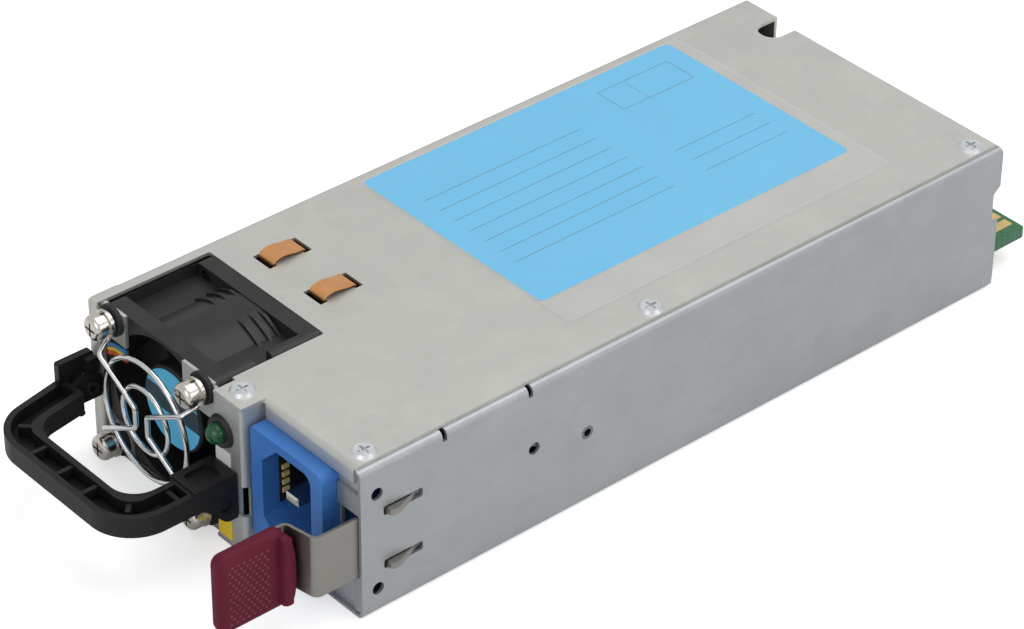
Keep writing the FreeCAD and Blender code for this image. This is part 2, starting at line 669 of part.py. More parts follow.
def fan_housing():
    """Moulded frame round the duct's barrel, pocketed above and below, with the motor base."""
    body = new_body("fan_housing")
    front = TAB_REAR
    plate = 4.2
    outline = rounded([(FAN_LEFT, FAN_LOW), (FAN_RIGHT, FAN_LOW), (FAN_RIGHT, FAN_HIGH), (FAN_LEFT, FAN_HIGH)],
                      s.fan_corner_radius)
    bore = circle(s.fan_centre, FAN_Z, s.duct_radius)
    pad_back(body, front, FAN_REAR, outline, bore)
    rail_left = FAN_RIGHT - 3.2
    hollow = 3.0
    edge = FAN_LEFT + 1.4
    cut_back(body, front + plate, FAN_REAR - plate,
             rectangle(edge, FAN_HIGH - hollow, rail_left, FAN_HIGH + 1),
             rectangle(edge, FAN_LOW - 1, rail_left, FAN_LOW + hollow))
    barrel_radius = s.duct_radius + 0.85
    pad_back(body, front + plate, FAN_REAR - plate, clipped_barrel(barrel_radius), bore)
    for rear in (4.0, 6.4, 9.4):
        rib_rear = FAN_REAR - rear - 0.6
        pad_back(body, rib_rear - 0.8, rib_rear, clipped_barrel(barrel_radius + 0.6), bore)
    notch = rectangle(rail_left - 0.2, front + 10.6, FAN_RIGHT + 0.2, front + 15.0)
    cut_up(body, FAN_HIGH - hollow, FAN_HIGH + 0.5, notch)
    holes = [circle(x, z, s.screw_radius + 0.05) for x, z in fan_corners(s.fan_pitch)]
    cut_back(body, front - 0.2, front + plate + 0.2, *holes)
    cut_back(body, FAN_REAR - plate - 0.2, FAN_REAR + 0.2, *holes)
    base_rear = FAN_REAR - 0.6
    base_front = FAN_REAR - 3.0
    pad_back(body, base_front, base_rear, circle(s.fan_centre, FAN_Z, s.hub_radius))
    add_struts(body, base_front, base_rear)
    tube_front = base_front - s.hub_depth + 3.4
    pad_back(body, tube_front, base_front + 0.1, circle(s.fan_centre, FAN_Z, s.bearing_radius + 0.9))
    cut_back(body, tube_front - 0.2, FAN_REAR, circle(s.fan_centre, FAN_Z, s.bearing_radius))
    return body


def clipped_barrel(radius):
    """The duct's outer wall, cut flat where the frame is lower than the barrel."""
    radius = float(radius)
    centre_x = float(s.fan_centre)
    centre_z = float(FAN_Z)
    half = (float(FAN_HIGH) - float(FAN_LOW)) / 2 - 0.25
    middle_z = (float(FAN_HIGH) + float(FAN_LOW)) / 2
    upper = middle_z + half - centre_z
    lower = middle_z - half - centre_z
    across_up = math.sqrt(max(radius ** 2 - upper ** 2, 0.0))
    across_low = math.sqrt(max(radius ** 2 - lower ** 2, 0.0))

    def at(x, z):
        return Vector(centre_x + x, centre_z + z, 0)

    right = Part.Arc(at(across_low, lower), at(radius, 0), at(across_up, upper))
    left = Part.Arc(at(-across_up, upper), at(-radius, 0), at(-across_low, lower))
    return [right, Part.LineSegment(at(across_up, upper), at(-across_up, upper)),
            left, Part.LineSegment(at(-across_low, lower), at(across_low, lower))]


def add_struts(body, front, rear):
    """Four struts from the motor base to the duct, patterned about the fan's axis."""
    reach = s.duct_radius + 0.3
    half = 0.9
    for step in range(4):
        angle = math.radians(28 + step * 90)
        along = Vector(math.cos(angle), math.sin(angle), 0)
        side = Vector(-along.y, along.x, 0) * half
        centre = point((s.fan_centre, FAN_Z))
        inner = centre + along * (float(s.hub_radius) - 0.4)
        outer = centre + along * float(reach)
        corners = [inner - side, outer - side, outer + side, inner + side]
        pad_back(body, front, rear, polygon([(c.x, c.y) for c in corners]))


def blade(count, index):
    """One twisted, cambered blade, lofted between sections at the hub and at the tip."""
    root = float(s.hub_radius) - 1.6
    tip = float(s.duct_radius) - float(s.tip_gap)
    sections = []
    for radius, pitch, chord in ((root, 58.0, 17.0), ((root + tip) / 2, 50.0, 18.0), (tip, 42.0, 19.5)):
        sections.append(blade_section(radius, math.radians(pitch), chord))
    shape = Part.makeLoft(sections, True, False)
    shape.rotate(Vector(0, 0, 0), Vector(*BACK), 360.0 * index / count)
    return shape


def blade_section(radius, pitch, chord):
    """A thin cambered outline in the plane at radius, leaning by pitch from the fan's plane."""
    thick = float(s.blade_thick)
    camber = 0.11 * chord

    def at(along, off):
        x = along * math.cos(pitch) - off * math.sin(pitch)
        y = along * math.sin(pitch) + off * math.cos(pitch)
        return Vector(x, y, radius)

    lead = at(-chord / 2, 0)
    trail = at(chord / 2, 0)
    upper = Part.Arc(lead, at(0, camber + thick / 2), trail).toShape()
    lower = Part.Arc(trail, at(0, camber - thick / 2), lead).toShape()
    return Part.Wire([upper, lower])


def fan_rotor():
    """A cup hub with blades round it. The cup is open to the rear over the stator."""
    count = int(round(float(s.blade_count)))
    depth = float(s.hub_depth)
    hub_radius = float(s.hub_radius)
    cup = Part.makeCylinder(hub_radius, depth, Vector(0, 0, 0), Vector(*BACK))
    hollow = Part.makeCylinder(hub_radius - float(s.hub_wall), depth, Vector(0, 1.4, 0), Vector(*BACK))
    boss = Part.makeCylinder(2.2, 2.6, Vector(0, 1.0, 0), Vector(*BACK))
    bore = rod((0, 0.8, 0), BACK, s.shaft_radius, depth)
    rim = [edge for edge in cup.Edges if edge.BoundBox.YMax < 0.01 and edge.Closed]
    blades = [trimmed_blade(blade(count, index), depth) for index in range(count)]
    solid = cup.makeFillet(0.8, rim).fuse(blades).cut(hollow).fuse(boss).cut(bore)
    solid = solid.removeSplitter()
    solid.translate(Vector(float(s.fan_centre), float(TAB_REAR + s.hub_setback), float(FAN_Z)))
    return solid_piece("fan_rotor", solid)


def trimmed_blade(shape, depth):
    """Moves a blade to the middle of the hub and keeps it inside the duct."""
    shape.translate(Vector(0, depth / 2 - 0.6, 0))
    reach = float(s.duct_radius) - float(s.tip_gap)
    return shape.common(Part.makeCylinder(reach, depth - 0.8, Vector(0, 0.4, 0), Vector(*BACK)))


def fan_inner_pieces():
    """Shaft, two bearings, the stator's wound core and the hub's label."""
    face = float(TAB_REAR + s.hub_setback)
    x = float(s.fan_centre)
    z = float(FAN_Z)
    shaft_end = float(FAN_REAR) - 1.2
    solid_piece("fan_shaft", rod((x, face + 0.9, z), BACK, s.shaft_radius, shaft_end - face - 0.9))
    tube_front = float(FAN_REAR) - 3.0 - float(s.hub_depth) + 3.4
    bearings = []
    for front in (tube_front + 0.2, float(FAN_REAR) - 4.2):
        ring = rod((x, front, z), BACK, s.bearing_radius, 2.4)
        bearings.append(ring.cut(rod((x, front - 0.1, z), BACK, s.shaft_radius + s.shaft_gap, 2.6)))
    solid_piece("fan_bearings", Part.makeCompound(bearings))
    stator_front = tube_front + 1.2
    yoke = rod((x, stator_front, z), BACK, s.hub_radius - s.hub_wall - 0.9, STATOR_LENGTH)
    yoke = yoke.cut(rod((x, stator_front - 0.1, z), BACK, s.bearing_radius + 0.95, STATOR_LENGTH + 0.2))
    for step in range(4):
        slot = Part.makeBox(1.2, STATOR_LENGTH + 0.2, 3.4, Vector(-0.6, 0, 4.6))
        slot.rotate(Vector(0, 0, 0), Vector(*BACK), 45 + 90 * step)
        slot.translate(Vector(x, stator_front - 0.1, z))
        yoke = yoke.cut(slot)
    solid_piece("fan_stator", yoke)
    solid_piece("hub_label", rod((x, face - 0.12, z), BACK, s.hub_radius - 0.8, 0.12))


def fan_fixings():
    """Grommets, washers and pan-head screws at the four corners, each node a group of solids."""
    grommets, washers, screws = [], [], []
    flange_front = float(TAB_FACE - s.grommet_flange)
    wire_front = flange_front - float(s.guard_wire)
    washer_front = wire_front - float(s.washer_thick)
    seat = washer_front - float(s.spring_washer)
    for x, z in fan_corners(s.fan_pitch):
        x, z = float(x), float(z)
        flange = rod((x, flange_front, z), BACK, s.grommet_radius, s.grommet_flange)
        neck = rod((x, float(TAB_FACE) - 0.2, z), BACK, s.grommet_neck - 0.02, float(s.gauge) + 0.2)
        bore = rod((x, flange_front - 1, z), BACK, s.screw_radius + 0.1, 6)
        grommets.append(flange.fuse(neck).cut(bore))
        disc = rod((x, washer_front, z), BACK, s.screw_head_radius + 0.3, s.washer_thick)
        split = rod((x, seat, z), BACK, s.screw_head_radius - 0.3, s.spring_washer)
        split = split.cut(box(x - 0.3, x + 0.3, seat - 0.1, washer_front + 0.1, z, z + 5))
        opening = rod((x, seat - 1, z), BACK, s.screw_radius + 0.1, 4)
        washers += [disc.cut(opening), split.cut(opening)]
        screws.append(pan_head_screw(x, seat, z))
    solid_piece("fan_grommets", Part.makeCompound(grommets))
    solid_piece("fan_washers", Part.makeCompound(washers))
    solid_piece("fan_screws", Part.makeCompound(screws))


def pan_head_screw(x, seat, z):
    """A domed head on its shank, seated at depth seat and pointing to the rear."""
    radius = float(s.screw_head_radius)
    height = float(s.screw_head_depth)
    head = Part.makeCylinder(radius, height, Vector(x, seat - height, z), Vector(*BACK))
    rim = [edge for edge in head.Edges if edge.BoundBox.YMax < seat - height + 0.01 and edge.Closed]
    head = head.makeFillet(min(1.3, height * 0.6), rim)
    shank = rod((x, seat - 0.1, z), BACK, s.screw_radius, float(TAB_REAR) + 4.0 - seat + 0.1)
    return cross_recess(head.fuse(shank), Vector(x, seat - height, z), FORWARD, 1.7, 1.1)


def fan_guard():
    """Two wire rings and two bent cross wires that end in loops under the screws."""
    wire = float(s.guard_wire) / 2
    loop_y = float(TAB_FACE - s.grommet_flange) - wire
    ring_y = loop_y - 2.6
    x = float(s.fan_centre)
    z = float(PATTERN_Z)
    rings = [Part.makeTorus(float(r), wire, Vector(x, ring_y, z), Vector(*BACK))
             for r in (s.guard_outer, s.guard_inner)]
    half = float(s.fan_pitch) / 2
    cross_y = ring_y - 2 * wire + 0.1
    shapes = list(rings)
    for side in (-1, 1):
        upper = [(side * half, loop_y, half - 1.9), (side * half, loop_y, half - 4.2),
                 (side * (half - 1.4), cross_y, half - 6.2), (side * 2.1, cross_y, 2.6)]
        route = upper + [(a, y, -c) for a, y, c in reversed(upper)]
        points = [Vector(x + a, y, z + c) for a, y, c in route]
        shapes.append(bent_wire(points, wire, 1.3))
        for k in (-1, 1):
            centre = Vector(x + side * half, loop_y, z + k * half)
            loop = Part.makeTorus(float(s.screw_radius) + wire + 0.1, wire, centre, Vector(*BACK))
            shapes.append(loop)
    guard = shapes[0].fuse(shapes[1:])
    return solid_piece("fan_guard", guard)


def bent_wire(points, radius, bend):
    """A round wire along straight runs with tangent bends, built as cylinders and torus segments."""
    edges = []
    last = points[0]
    for before, corner, after in zip(points, points[1:], points[2:]):
        into = (corner - before).normalize()
        out = (after - corner).normalize()
        turn = into.getAngle(out)
        room = 0.45 * min((corner - before).Length, (after - corner).Length)
        setback = min(bend * math.tan(turn / 2), room)
        arc_radius = setback / math.tan(turn / 2)
        first = corner - into * setback
        end = corner + out * setback
        inward = (out - into).normalize()
        centre = corner + inward * (arc_radius / math.cos(turn / 2))
        middle = centre - inward * arc_radius
        edges.append(Part.makeLine(last, first))
        edges.append(Part.Arc(first, middle, end).toShape())
        last = end
    edges.append(Part.makeLine(last, points[-1]))
    spine = Part.Wire(edges)
    start = (points[1] - points[0]).normalize()
    profile = Part.Wire([Part.makeCircle(radius, points[0], start)])
    return spine.makePipeShell([profile], True, True, 2)


def fan_leads():
    """Three short leads across the frame's front, below the upper left tab: one node per colour."""
    y = float(TAB_REAR) - LEAD_RADIUS - 0.05
    for index, colour in enumerate(("blue", "yellow", "red")):
        left = float(FAN_LEFT) + 1.3
        z = float(TOP - s.tab_reach) + 1.0 - index * 1.1
        points = [Vector(left, y, z - 1.0), Vector(left + 2.2, y, z), Vector(left + 6.6, y, z + 0.3)]
        solid_piece("fan_lead_" + colour, bent_wire(points, LEAD_RADIUS, 3.0))


# ---------------------------------------------------------------------------------------------
# Handle and indicator
# ---------------------------------------------------------------------------------------------

def handle_loop():
    """A ribbed U moulding. The left end bears above its pin and the right end below its pin."""
    body = new_body("handle_loop")
    front = -s.handle_front
    inner_front = front + s.handle_bar
    right = s.handle_width
    block_left = right - 8.6
    rear = PANEL_FACE - s.handle_gap
    arm_end = -s.pin_setback - 4.4
    slant = 4.2
    outline = rounded([(0, arm_end), (0, arm_end - 2.2), (slant, front), (right, front), (right, rear),
                       (block_left, rear), (block_left, -16.8), (right - s.handle_bar, -17.8),
                       (right - s.handle_bar, inner_front), (slant + s.handle_bar - 1.2, inner_front),
                       (s.handle_bar + 0.5, arm_end)],
                      [0, 4, s.handle_corner, s.handle_corner, 0, 0, 0.8, 0.8, 6.5, 6.5, 0.6])
    pad_up(body, HANDLE_LOW, s.handle_top, outline)
    wall = s.handle_wall
    channel = strip([(wall + 0.2, arm_end - 1.8), (slant + wall - 0.4, front + wall),
                     (right - wall, front + wall), (right - wall, -17.6)],
                    s.handle_bar - 2 * wall, 5.1)
    cut_up(body, s.handle_top - s.handle_channel, s.handle_top + 0.2, channel)
    handle_ribs(body, front)
    block_top = s.handle_top + 0.6
    block = rounded([(rear, PIN_RIGHT_Z - 4.4), (-s.pin_setback, PIN_RIGHT_Z - 4.4), (-14.8, HANDLE_LOW),
                     (-16.8, HANDLE_LOW), (-16.8, block_top), (rear, block_top)],
                    [0.4, 3, 3, 0, 0.4, 0.4])
    pad_across(body, block_left, right, block)
    dish = rounded([(block_left + 1.8, -15.2), (right - 1.7, -15.2), (right - 1.7, -8.4),
                    (block_left + 1.8, -8.4)], 1.2)
    cut_up(body, block_top - 0.9, block_top + 0.2, dish)
    ear_slot = rectangle(-s.pin_setback - 2.9, PIN_RIGHT_Z - 3.7, rear + 0.1, PIN_RIGHT_Z + 3.7)
    cut_across(body, EAR_RIGHT - 0.15, EAR_RIGHT + s.gauge + 0.15, ear_slot)
    pin = circle(-s.pin_setback, PIN_RIGHT_Z, s.pin_radius)
    cut_across(body, EAR_RIGHT - 3.0, EAR_RIGHT + 3.2, pin)
    cut_across(body, right - 0.4, right + 0.1, pin)
    cheek_top = s.handle_top + 5.0
    cheek = rounded([(arm_end - 2.2, HANDLE_LOW + 0.4), (arm_end + 0.4, HANDLE_LOW + 0.4),
                     (arm_end + 2.4, PIN_LEFT_Z - 3.2), (rear - 0.4, PIN_LEFT_Z - 3.2),
                     (rear - 0.4, cheek_top), (arm_end - 2.2, cheek_top)], [0, 0, 1, 0.4, 0.8, 0.6])
    pad_across(body, 0, EAR_LEFT - 0.15, cheek)
    pad_across(body, 0, EAR_LEFT + 1.9,
               rounded([(-s.pin_setback - 0.3, PIN_LEFT_Z + 3.1), (rear - 0.4, PIN_LEFT_Z + 3.1),
                        (rear - 0.4, cheek_top - 0.6), (-s.pin_setback - 0.3, cheek_top - 0.6)],
                       [0, 0, 0.6, 0.6]))
    knuckle_right = EAR_LEFT + s.gauge + 1.5
    knuckle = rounded([(arm_end - 0.6, HANDLE_LOW + 0.4), (arm_end + 2.4, PIN_LEFT_Z - 3.2),
                       (rear - 0.1, PIN_LEFT_Z - 3.2), (rear - 0.1, PIN_LEFT_Z + 3.4),
                       (arm_end + 2.4, PIN_LEFT_Z + 3.4), (arm_end - 0.6, s.handle_top - 0.4)],
                      [0, 1, 0.6, 2.0, 3.0, 0])
    pad_across(body, EAR_LEFT + s.gauge + 0.15, knuckle_right, knuckle)
    cut_across(body, EAR_LEFT - 1.2, knuckle_right + 0.1,
               circle(-s.pin_setback, PIN_LEFT_Z, s.pin_radius))
    lug = rounded([(arm_end - 1.3, HANDLE_LOW - 0.7), (arm_end, HANDLE_LOW - 0.7),
                   (arm_end, HANDLE_LOW + 0.2), (arm_end - 1.9, HANDLE_LOW + 0.2)], [0.5, 0.5, 0, 0])
    pad_across(body, s.handle_bar - 1.8, s.handle_bar + 0.4, lug)
    return body


def handle_ribs(body, front):
    """Cross ribs that divide the channel into pockets."""
    low = s.handle_top - s.handle_channel - 0.2
    high = s.handle_top - 0.5
    wall = s.handle_wall - 0.3
    near = front + wall
    far = front + s.handle_bar - wall
    half = 0.55
    for x in (17.3, 26.5, 35.3):
        pad_up(body, low, high, rectangle(x - half, near, x + half, far))
    inner_edge = s.handle_width - s.handle_bar + wall
    pad_up(body, low, high, rectangle(inner_edge, -20.3, s.handle_width - wall, -19.2))
    corner = 8.0
    for x, lean in ((s.handle_width - corner, 1), (dim(corner + 2.2), -1)):
        across = Vector(lean * 0.707, -0.707, 0)
        along = Vector(-across.y, across.x, 0)
        start = Vector(float(x) - lean * 1.3, float(front) + corner + 1.3, 0)
        ends = [start + along * half, start + across * 5.6 + along * half,
                start + across * 5.6 - along * half, start - along * half]
        pad_up(body, low, high, polygon([(v.x, v.y) for v in ends]))


def handle_pins():
    """The left pin is a hollow rivet with an open end; the right pin is blind in its block."""
    y = -float(s.pin_setback)
    left_z = float(PIN_LEFT_Z)
    right_z = float(PIN_RIGHT_Z)
    start = float(EAR_LEFT) - 1.2
    length = 1.2 + float(s.gauge) + 1.5 + 0.7
    left = rod((start, y, left_z), RIGHT, s.pin_radius, length)
    left = left.cut(rod((start + length - 2.0, y, left_z), RIGHT, 0.9, 3.0))
    right = rod((float(EAR_RIGHT) - 3.0, y, right_z), RIGHT, s.pin_radius, 6.2)
    solid_piece("handle_pins", Part.makeCompound([left, right]))


def status_indicator():
    """A domed green lens in a black snap-in holder."""
    x, z = LED_SPOT
    face = float(PANEL_FACE)
    radius = float(s.led_radius)
    dome_centre = face - 1.3
    barrel = rod((x, dome_centre, z), BACK, radius, 5.6)
    dome = Part.makeSphere(radius, Vector(x, dome_centre, z))
    neck_length = float(s.gauge) + 0.9
    rim = rod((x, face - 0.1 + neck_length, z), BACK, radius + 0.3, 1.0)
    solid_piece("status_led", barrel.fuse([dome, rim]).removeSplitter())
    flange = Part.makeCone(float(s.led_bezel_radius) - 0.4, float(s.led_bezel_radius), 1.0,
                           Vector(x, face - 1.0, z), Vector(*BACK))
    neck = rod((x, face - 0.1, z), BACK, radius + 0.32, neck_length)
    holder = flange.fuse(neck).cut(rod((x, face - 3, z), BACK, radius + 0.03, 9))
    solid_piece("led_holder", holder)


# ---------------------------------------------------------------------------------------------
# Inlet
# ---------------------------------------------------------------------------------------------

def cavity_outline(grow=0.0):
    """The inlet's opening: cut corners on the earth side and rounded ones on the other."""
    left = INLET_X - s.cavity_width / 2 - grow
    right = INLET_X + s.cavity_width / 2 + grow
    low = s.inlet_height - s.cavity_height / 2 - grow
    high = s.inlet_height + s.cavity_height / 2 + grow
    cut = s.cavity_chamfer
    return rounded([(left, low + cut), (left + cut, low), (right, low), (right, high),
                    (left + cut, high), (left, high - cut)], [0.4, 0.4, 2.6, 2.6, 0.4, 0.4])


def inlet_frame(inset):
    """The inlet's outer outline, inset from the bezel's edge."""
    half_width = s.bezel_width / 2 - inset
    half_height = s.bezel_height / 2 - inset
    left, right = INLET_X - half_width, INLET_X + half_width
    low, high = s.inlet_height - half_height, s.inlet_height + half_height
    return rounded([(left, low), (right, low), (right, high), (left, high)],
                   [0.8, 2.2, 2.2, 0.8] if inset == 0 else 0.6)


def inlet():
    """Coloured shroud, black back plate and contact strip, three flat pins and four contacts."""
    face = -s.bezel_reach
    floor = face + s.cavity_depth
    wall = INLET_X - s.cavity_width / 2
    bezel = new_body("inlet_bezel")
    pad_back(bezel, face, WALL_FRONT, inlet_frame(0), cavity_outline())
    pad_back(bezel, WALL_FRONT, floor, inlet_frame(1.7), cavity_outline())
    strip_front, strip_half, strip_thick = 0.6, 6.0, 1.0
    cut_across(bezel, wall - strip_thick - 0.05, wall + 0.2,
               rectangle(strip_front - 0.05, s.inlet_height - strip_half - 0.05,
                         floor + 0.1, s.inlet_height + strip_half + 0.05))
    core = new_body("inlet_core")
    pad_back(core, floor, floor + 2.0, inlet_frame(1.7))
    pad_across(core, wall - strip_thick, wall,
               rectangle(strip_front, s.inlet_height - strip_half, floor + 0.1, s.inlet_height + strip_half))
    slots = [rectangle(x - s.blade_width / 2, z - s.blade_gauge / 2,
                       x + s.blade_width / 2, z + s.blade_gauge / 2) for x, z, _tip in PIN_SPOTS]
    cut_back(core, floor - 0.1, floor + 2.1, *slots)
    pins = []
    for x, z, tip in PIN_SPOTS:
        front = float(face) + tip
        blade_shape = box(x - s.blade_width / 2, x + s.blade_width / 2, front, floor + 5.5,
                          z - s.blade_gauge / 2, z + s.blade_gauge / 2)
        nose = [e for e in blade_shape.Edges if e.BoundBox.YMax < front + 0.01]
        pins.append(blade_shape.makeChamfer(0.45, nose))
    solid_piece("inlet_pins", Part.makeCompound(pins))
    pads = []
    for step in (-3, -1, 1, 3):
        z = s.inlet_height + step
        pads.append(box(wall, wall + 0.45, 1.3, 3.0, z - 0.55, z + 0.55))
    solid_piece("inlet_contacts", Part.makeCompound(pads))


# ---------------------------------------------------------------------------------------------
# Side latch
# ---------------------------------------------------------------------------------------------

def latch():
    """A folded spring leaf with two teeth, its moulded grip and its hollow rivet."""
    leaf = new_body("latch_leaf")
    grip_core = s.grip_left + s.grip_thick / 2
    path = [(grip_core, -s.leaf_front - 16.5), (grip_core, -s.leaf_front - 1.0),
            (LEAF_FACE, -s.leaf_front + 0.4), (LEAF_FACE, s.leaf_rear)]
    pad_up(leaf, s.leaf_bottom, s.leaf_bottom + s.leaf_height, strip(path, s.leaf_gauge, s.leaf_bend - 0.8))
    for z in TOOTH_HEIGHTS:
        crest = s.body_width + s.tooth_reach
        tooth = rounded([(LEAF_FACE - 0.2, TOOTH_FRONT), (crest, TOOTH_FRONT + 0.5),
                         (crest, TOOTH_FRONT + 2.6), (LEAF_FACE - 0.2, TOOTH_REAR)], [0, 0.9, 1.6, 0])
        pad_up(leaf, z - TOOTH_GAUGE / 2, z + TOOTH_GAUGE / 2, tooth)
    neck = 5.0
    rear = s.leaf_rear + 1
    trims = [polygon([(24, LATCH_Z + k * 9), (24, LATCH_Z + k * 7.7), (30, LATCH_Z + k * neck),
                      (rear, LATCH_Z + k * neck), (rear, LATCH_Z + k * 9)]) for k in (-1, 1)]
    holes = [circle(RIVET_SPOT[0], RIVET_SPOT[1], HOLE_RADIUS),
             circle(WALL_HOLES[2][0], WALL_HOLES[2][1] - 1.5, HOLE_RADIUS)]
    cut_across(leaf, LEAF_FACE - s.leaf_gauge - 0.2, LEAF_FACE + 0.05, *trims, *holes)
    latch_grip(grip_core)
    head_left = LEAF_FACE - s.leaf_gauge - 0.6
    y, z = RIVET_SPOT
    head = rod((head_left, y, z), RIGHT, 2.6, 0.6)
    shank = rod((head_left, y, z), RIGHT, HOLE_RADIUS, s.body_width - head_left)
    bore = rod((head_left - 1, y, z), RIGHT, 0.95, 6)
    solid_piece("latch_rivet", head.fuse(shank).cut(bore))


def latch_grip(core):
    """The grip's plate, rounded all round, with a bowed rear edge and a raised stop beside it."""
    body = new_body("latch_grip")
    front = -s.leaf_front - s.grip_length + 1.2
    rear = -s.leaf_front - 1.1
    low = s.leaf_bottom + s.leaf_height + 0.3 - s.grip_height
    high = low + s.grip_height
    bow = 0.7
    corners = [(front, low), (rear - bow, low), (rear - bow, high), (front, high)]
    right = s.grip_left + s.grip_thick
    pad_across(body, s.grip_left, right, bowed_outline(corners, 2.4, bow))

    def long_rim(edge):
        bounds = edge.BoundBox
        return bounds.XLength < 0.01

    round_edges(body, 1.6, long_rim)
    stop = rounded([(right - 2.0, rear - 4.0), (right + 2.0, rear - 3.0), (right + 2.0, rear - bow),
                    (right - 2.0, rear - bow)], [0, 0.9, 0.9, 0])
    pad_up(body, low + 1.6, high - 1.6, stop)
    slot = rectangle(-s.leaf_front - 16.5, s.leaf_bottom, rear + 1, s.leaf_bottom + s.leaf_height)
    cut_across(body, core - s.leaf_gauge, core, slot)
    mouth = rectangle(-s.leaf_front - 2.6, s.leaf_bottom, rear + 1, s.leaf_bottom + s.leaf_height)
    cut_across(body, core - s.leaf_gauge - 0.2, core + 1.0, mouth)
    return body


def bowed_outline(corners, radius, bow):
    """A rounded plate whose second side bows outwards by bow."""
    edges = rounded(corners, radius)
    result = []
    for edge in edges:
        start, end = edge.StartPoint, edge.EndPoint
        far = float(corners[1][0])
        upright = isinstance(edge, Part.LineSegment) and abs(start.x - far) < 1e-6 and abs(end.x - far) < 1e-6
        if upright:
            middle = (start + end) * 0.5 + Vector(bow, 0, 0)
            result.append(Part.ArcOfCircle(start, middle, end))
        else:
            result.append(edge)
    return result


# ---------------------------------------------------------------------------------------------
# Inside
# ---------------------------------------------------------------------------------------------

def main_board():
    """The power board with its card-edge tongue, contact pads, standoffs, screws and insulator."""
    board = new_body("main_board")
    left = s.gauge * 2 + 1.6
    tongue_left = s.tongue_right - s.tongue_width
    tongue_end = s.body_depth + s.tongue_reach
    rear = REAR_FACE - 1.0
    outline = rounded([(left, BOARD_FRONT), (s.tongue_right, BOARD_FRONT), (s.tongue_right, tongue_end),
                       (tongue_left, tongue_end), (tongue_left, rear), (left, rear)],
                      [1, 1, 1.5, 1.5, 0.5, 1])
    pad_up(board, s.board_height, BOARD_TOP, outline)
    key = tongue_left + s.tongue_width * 0.62
    slot = rounded([(key, s.body_depth + 6), (key + 1.8, s.body_depth + 6),
                    (key + 1.8, tongue_end + 1), (key, tongue_end + 1)], [0.85, 0.85, 0, 0])
    holes = [circle(x, y, 1.6) for x, y in STANDOFF_SPOTS]
    cut_up(board, s.board_height - 0.1, BOARD_TOP + 0.1, slot, *holes)
    pads = []
    pitch = 3.6
    for side_low, side_high in ((BOARD_TOP, BOARD_TOP + 0.06), (s.board_height - 0.06, s.board_height)):
        for step in range(11):
            x = tongue_left + 2.2 + pitch * step
            if abs(float(x) + 1.3 - float(key) - 0.9) > 2.4:
                pads.append(box(x, x + 2.6, s.body_depth + 4.0, tongue_end - 1.2, side_low, side_high))
    solid_piece("edge_contacts", Part.makeCompound(pads))
    posts, screws = [], []
    for x, y in STANDOFF_SPOTS:
        posts.append(rod((x, y, s.gauge), UP, 3.0, s.board_height - s.gauge)
                     .cut(rod((x, y, s.gauge), UP, 1.25, 20)))
        head = rod((x, y, BOARD_TOP), UP, 2.8, 1.8)
        shank = rod((x, y, s.board_height - 3.0), UP, 1.22, s.board_gauge + 3.1)
        screws.append(cross_recess(head.fuse(shank), Vector(x, y, float(BOARD_TOP) + 1.8), UP, 1.6, 0.9))
    solid_piece("board_standoffs", Part.makeCompound(posts))
    solid_piece("board_screws", Part.makeCompound(screws))
    film = new_body("insulator_sheet")
    clear = [circle(x, y, 3.3) for x, y in STANDOFF_SPOTS]
    pad_up(film, s.gauge, s.gauge + 0.3,
           rounded([(left + 1, BOARD_FRONT), (s.tongue_right - 1, BOARD_FRONT),
                    (s.tongue_right - 1, REAR_FACE - 6.3), (left + 1, REAR_FACE - 6.3)], 2), *clear)


def inlet_board():
    """A small upright board on the inlet's tails, seated on the main board."""
    body = new_body("inlet_board")
    front = -s.bezel_reach + s.cavity_depth + 2.1
    pad_back(body, front, front + 1.6,
             rounded([(INLET_X - 11.0, BOARD_TOP), (INLET_X + 11.0, BOARD_TOP),
                      (INLET_X + 11.0, TOP - 4), (INLET_X - 11.0, TOP - 4)], 0.8))
    slots = [rectangle(x - s.blade_width / 2 - 0.02, z - s.blade_gauge / 2 - 0.02,
                       x + s.blade_width / 2 + 0.02, z + s.blade_gauge / 2 + 0.02)
             for x, z, _tip in PIN_SPOTS]
    cut_back(body, front - 0.1, front + 1.7, *slots)


def heatsink(name, left, front, rear, fins):
    """An extruded heatsink: an upright web with fins on its one side."""
    body = new_body(name)
    height = TOP - 3.4
    web = 2.2
    pad_back(body, front, rear, rectangle(left, BOARD_TOP, left + web, height))
    reach = 7.0
    gap = (float(height) - float(BOARD_TOP) - 3.0) / (fins - 1)
    bars = []
    for step in range(fins):
        low = BOARD_TOP + 1.2 + gap * step
        bars.append(rectangle(left + web - 0.1, low, left + web + reach, low + 1.1))
    pad_back(body, front, rear, *bars)


def toroid(centre, outer, inner, height):
    """A ring with softened rims that stands on its side."""
    ring = rod((0, 0, 0), RIGHT, outer, height).cut(rod((-1, 0, 0), RIGHT, inner, height + 2))
    rims = [edge for edge in ring.Edges if edge.Closed]
    ring = ring.makeFillet(height * 0.28, rims)
    ring.translate(Vector(centre[0] - height / 2, centre[1], float(BOARD_TOP) + 0.1 + outer))
    return ring


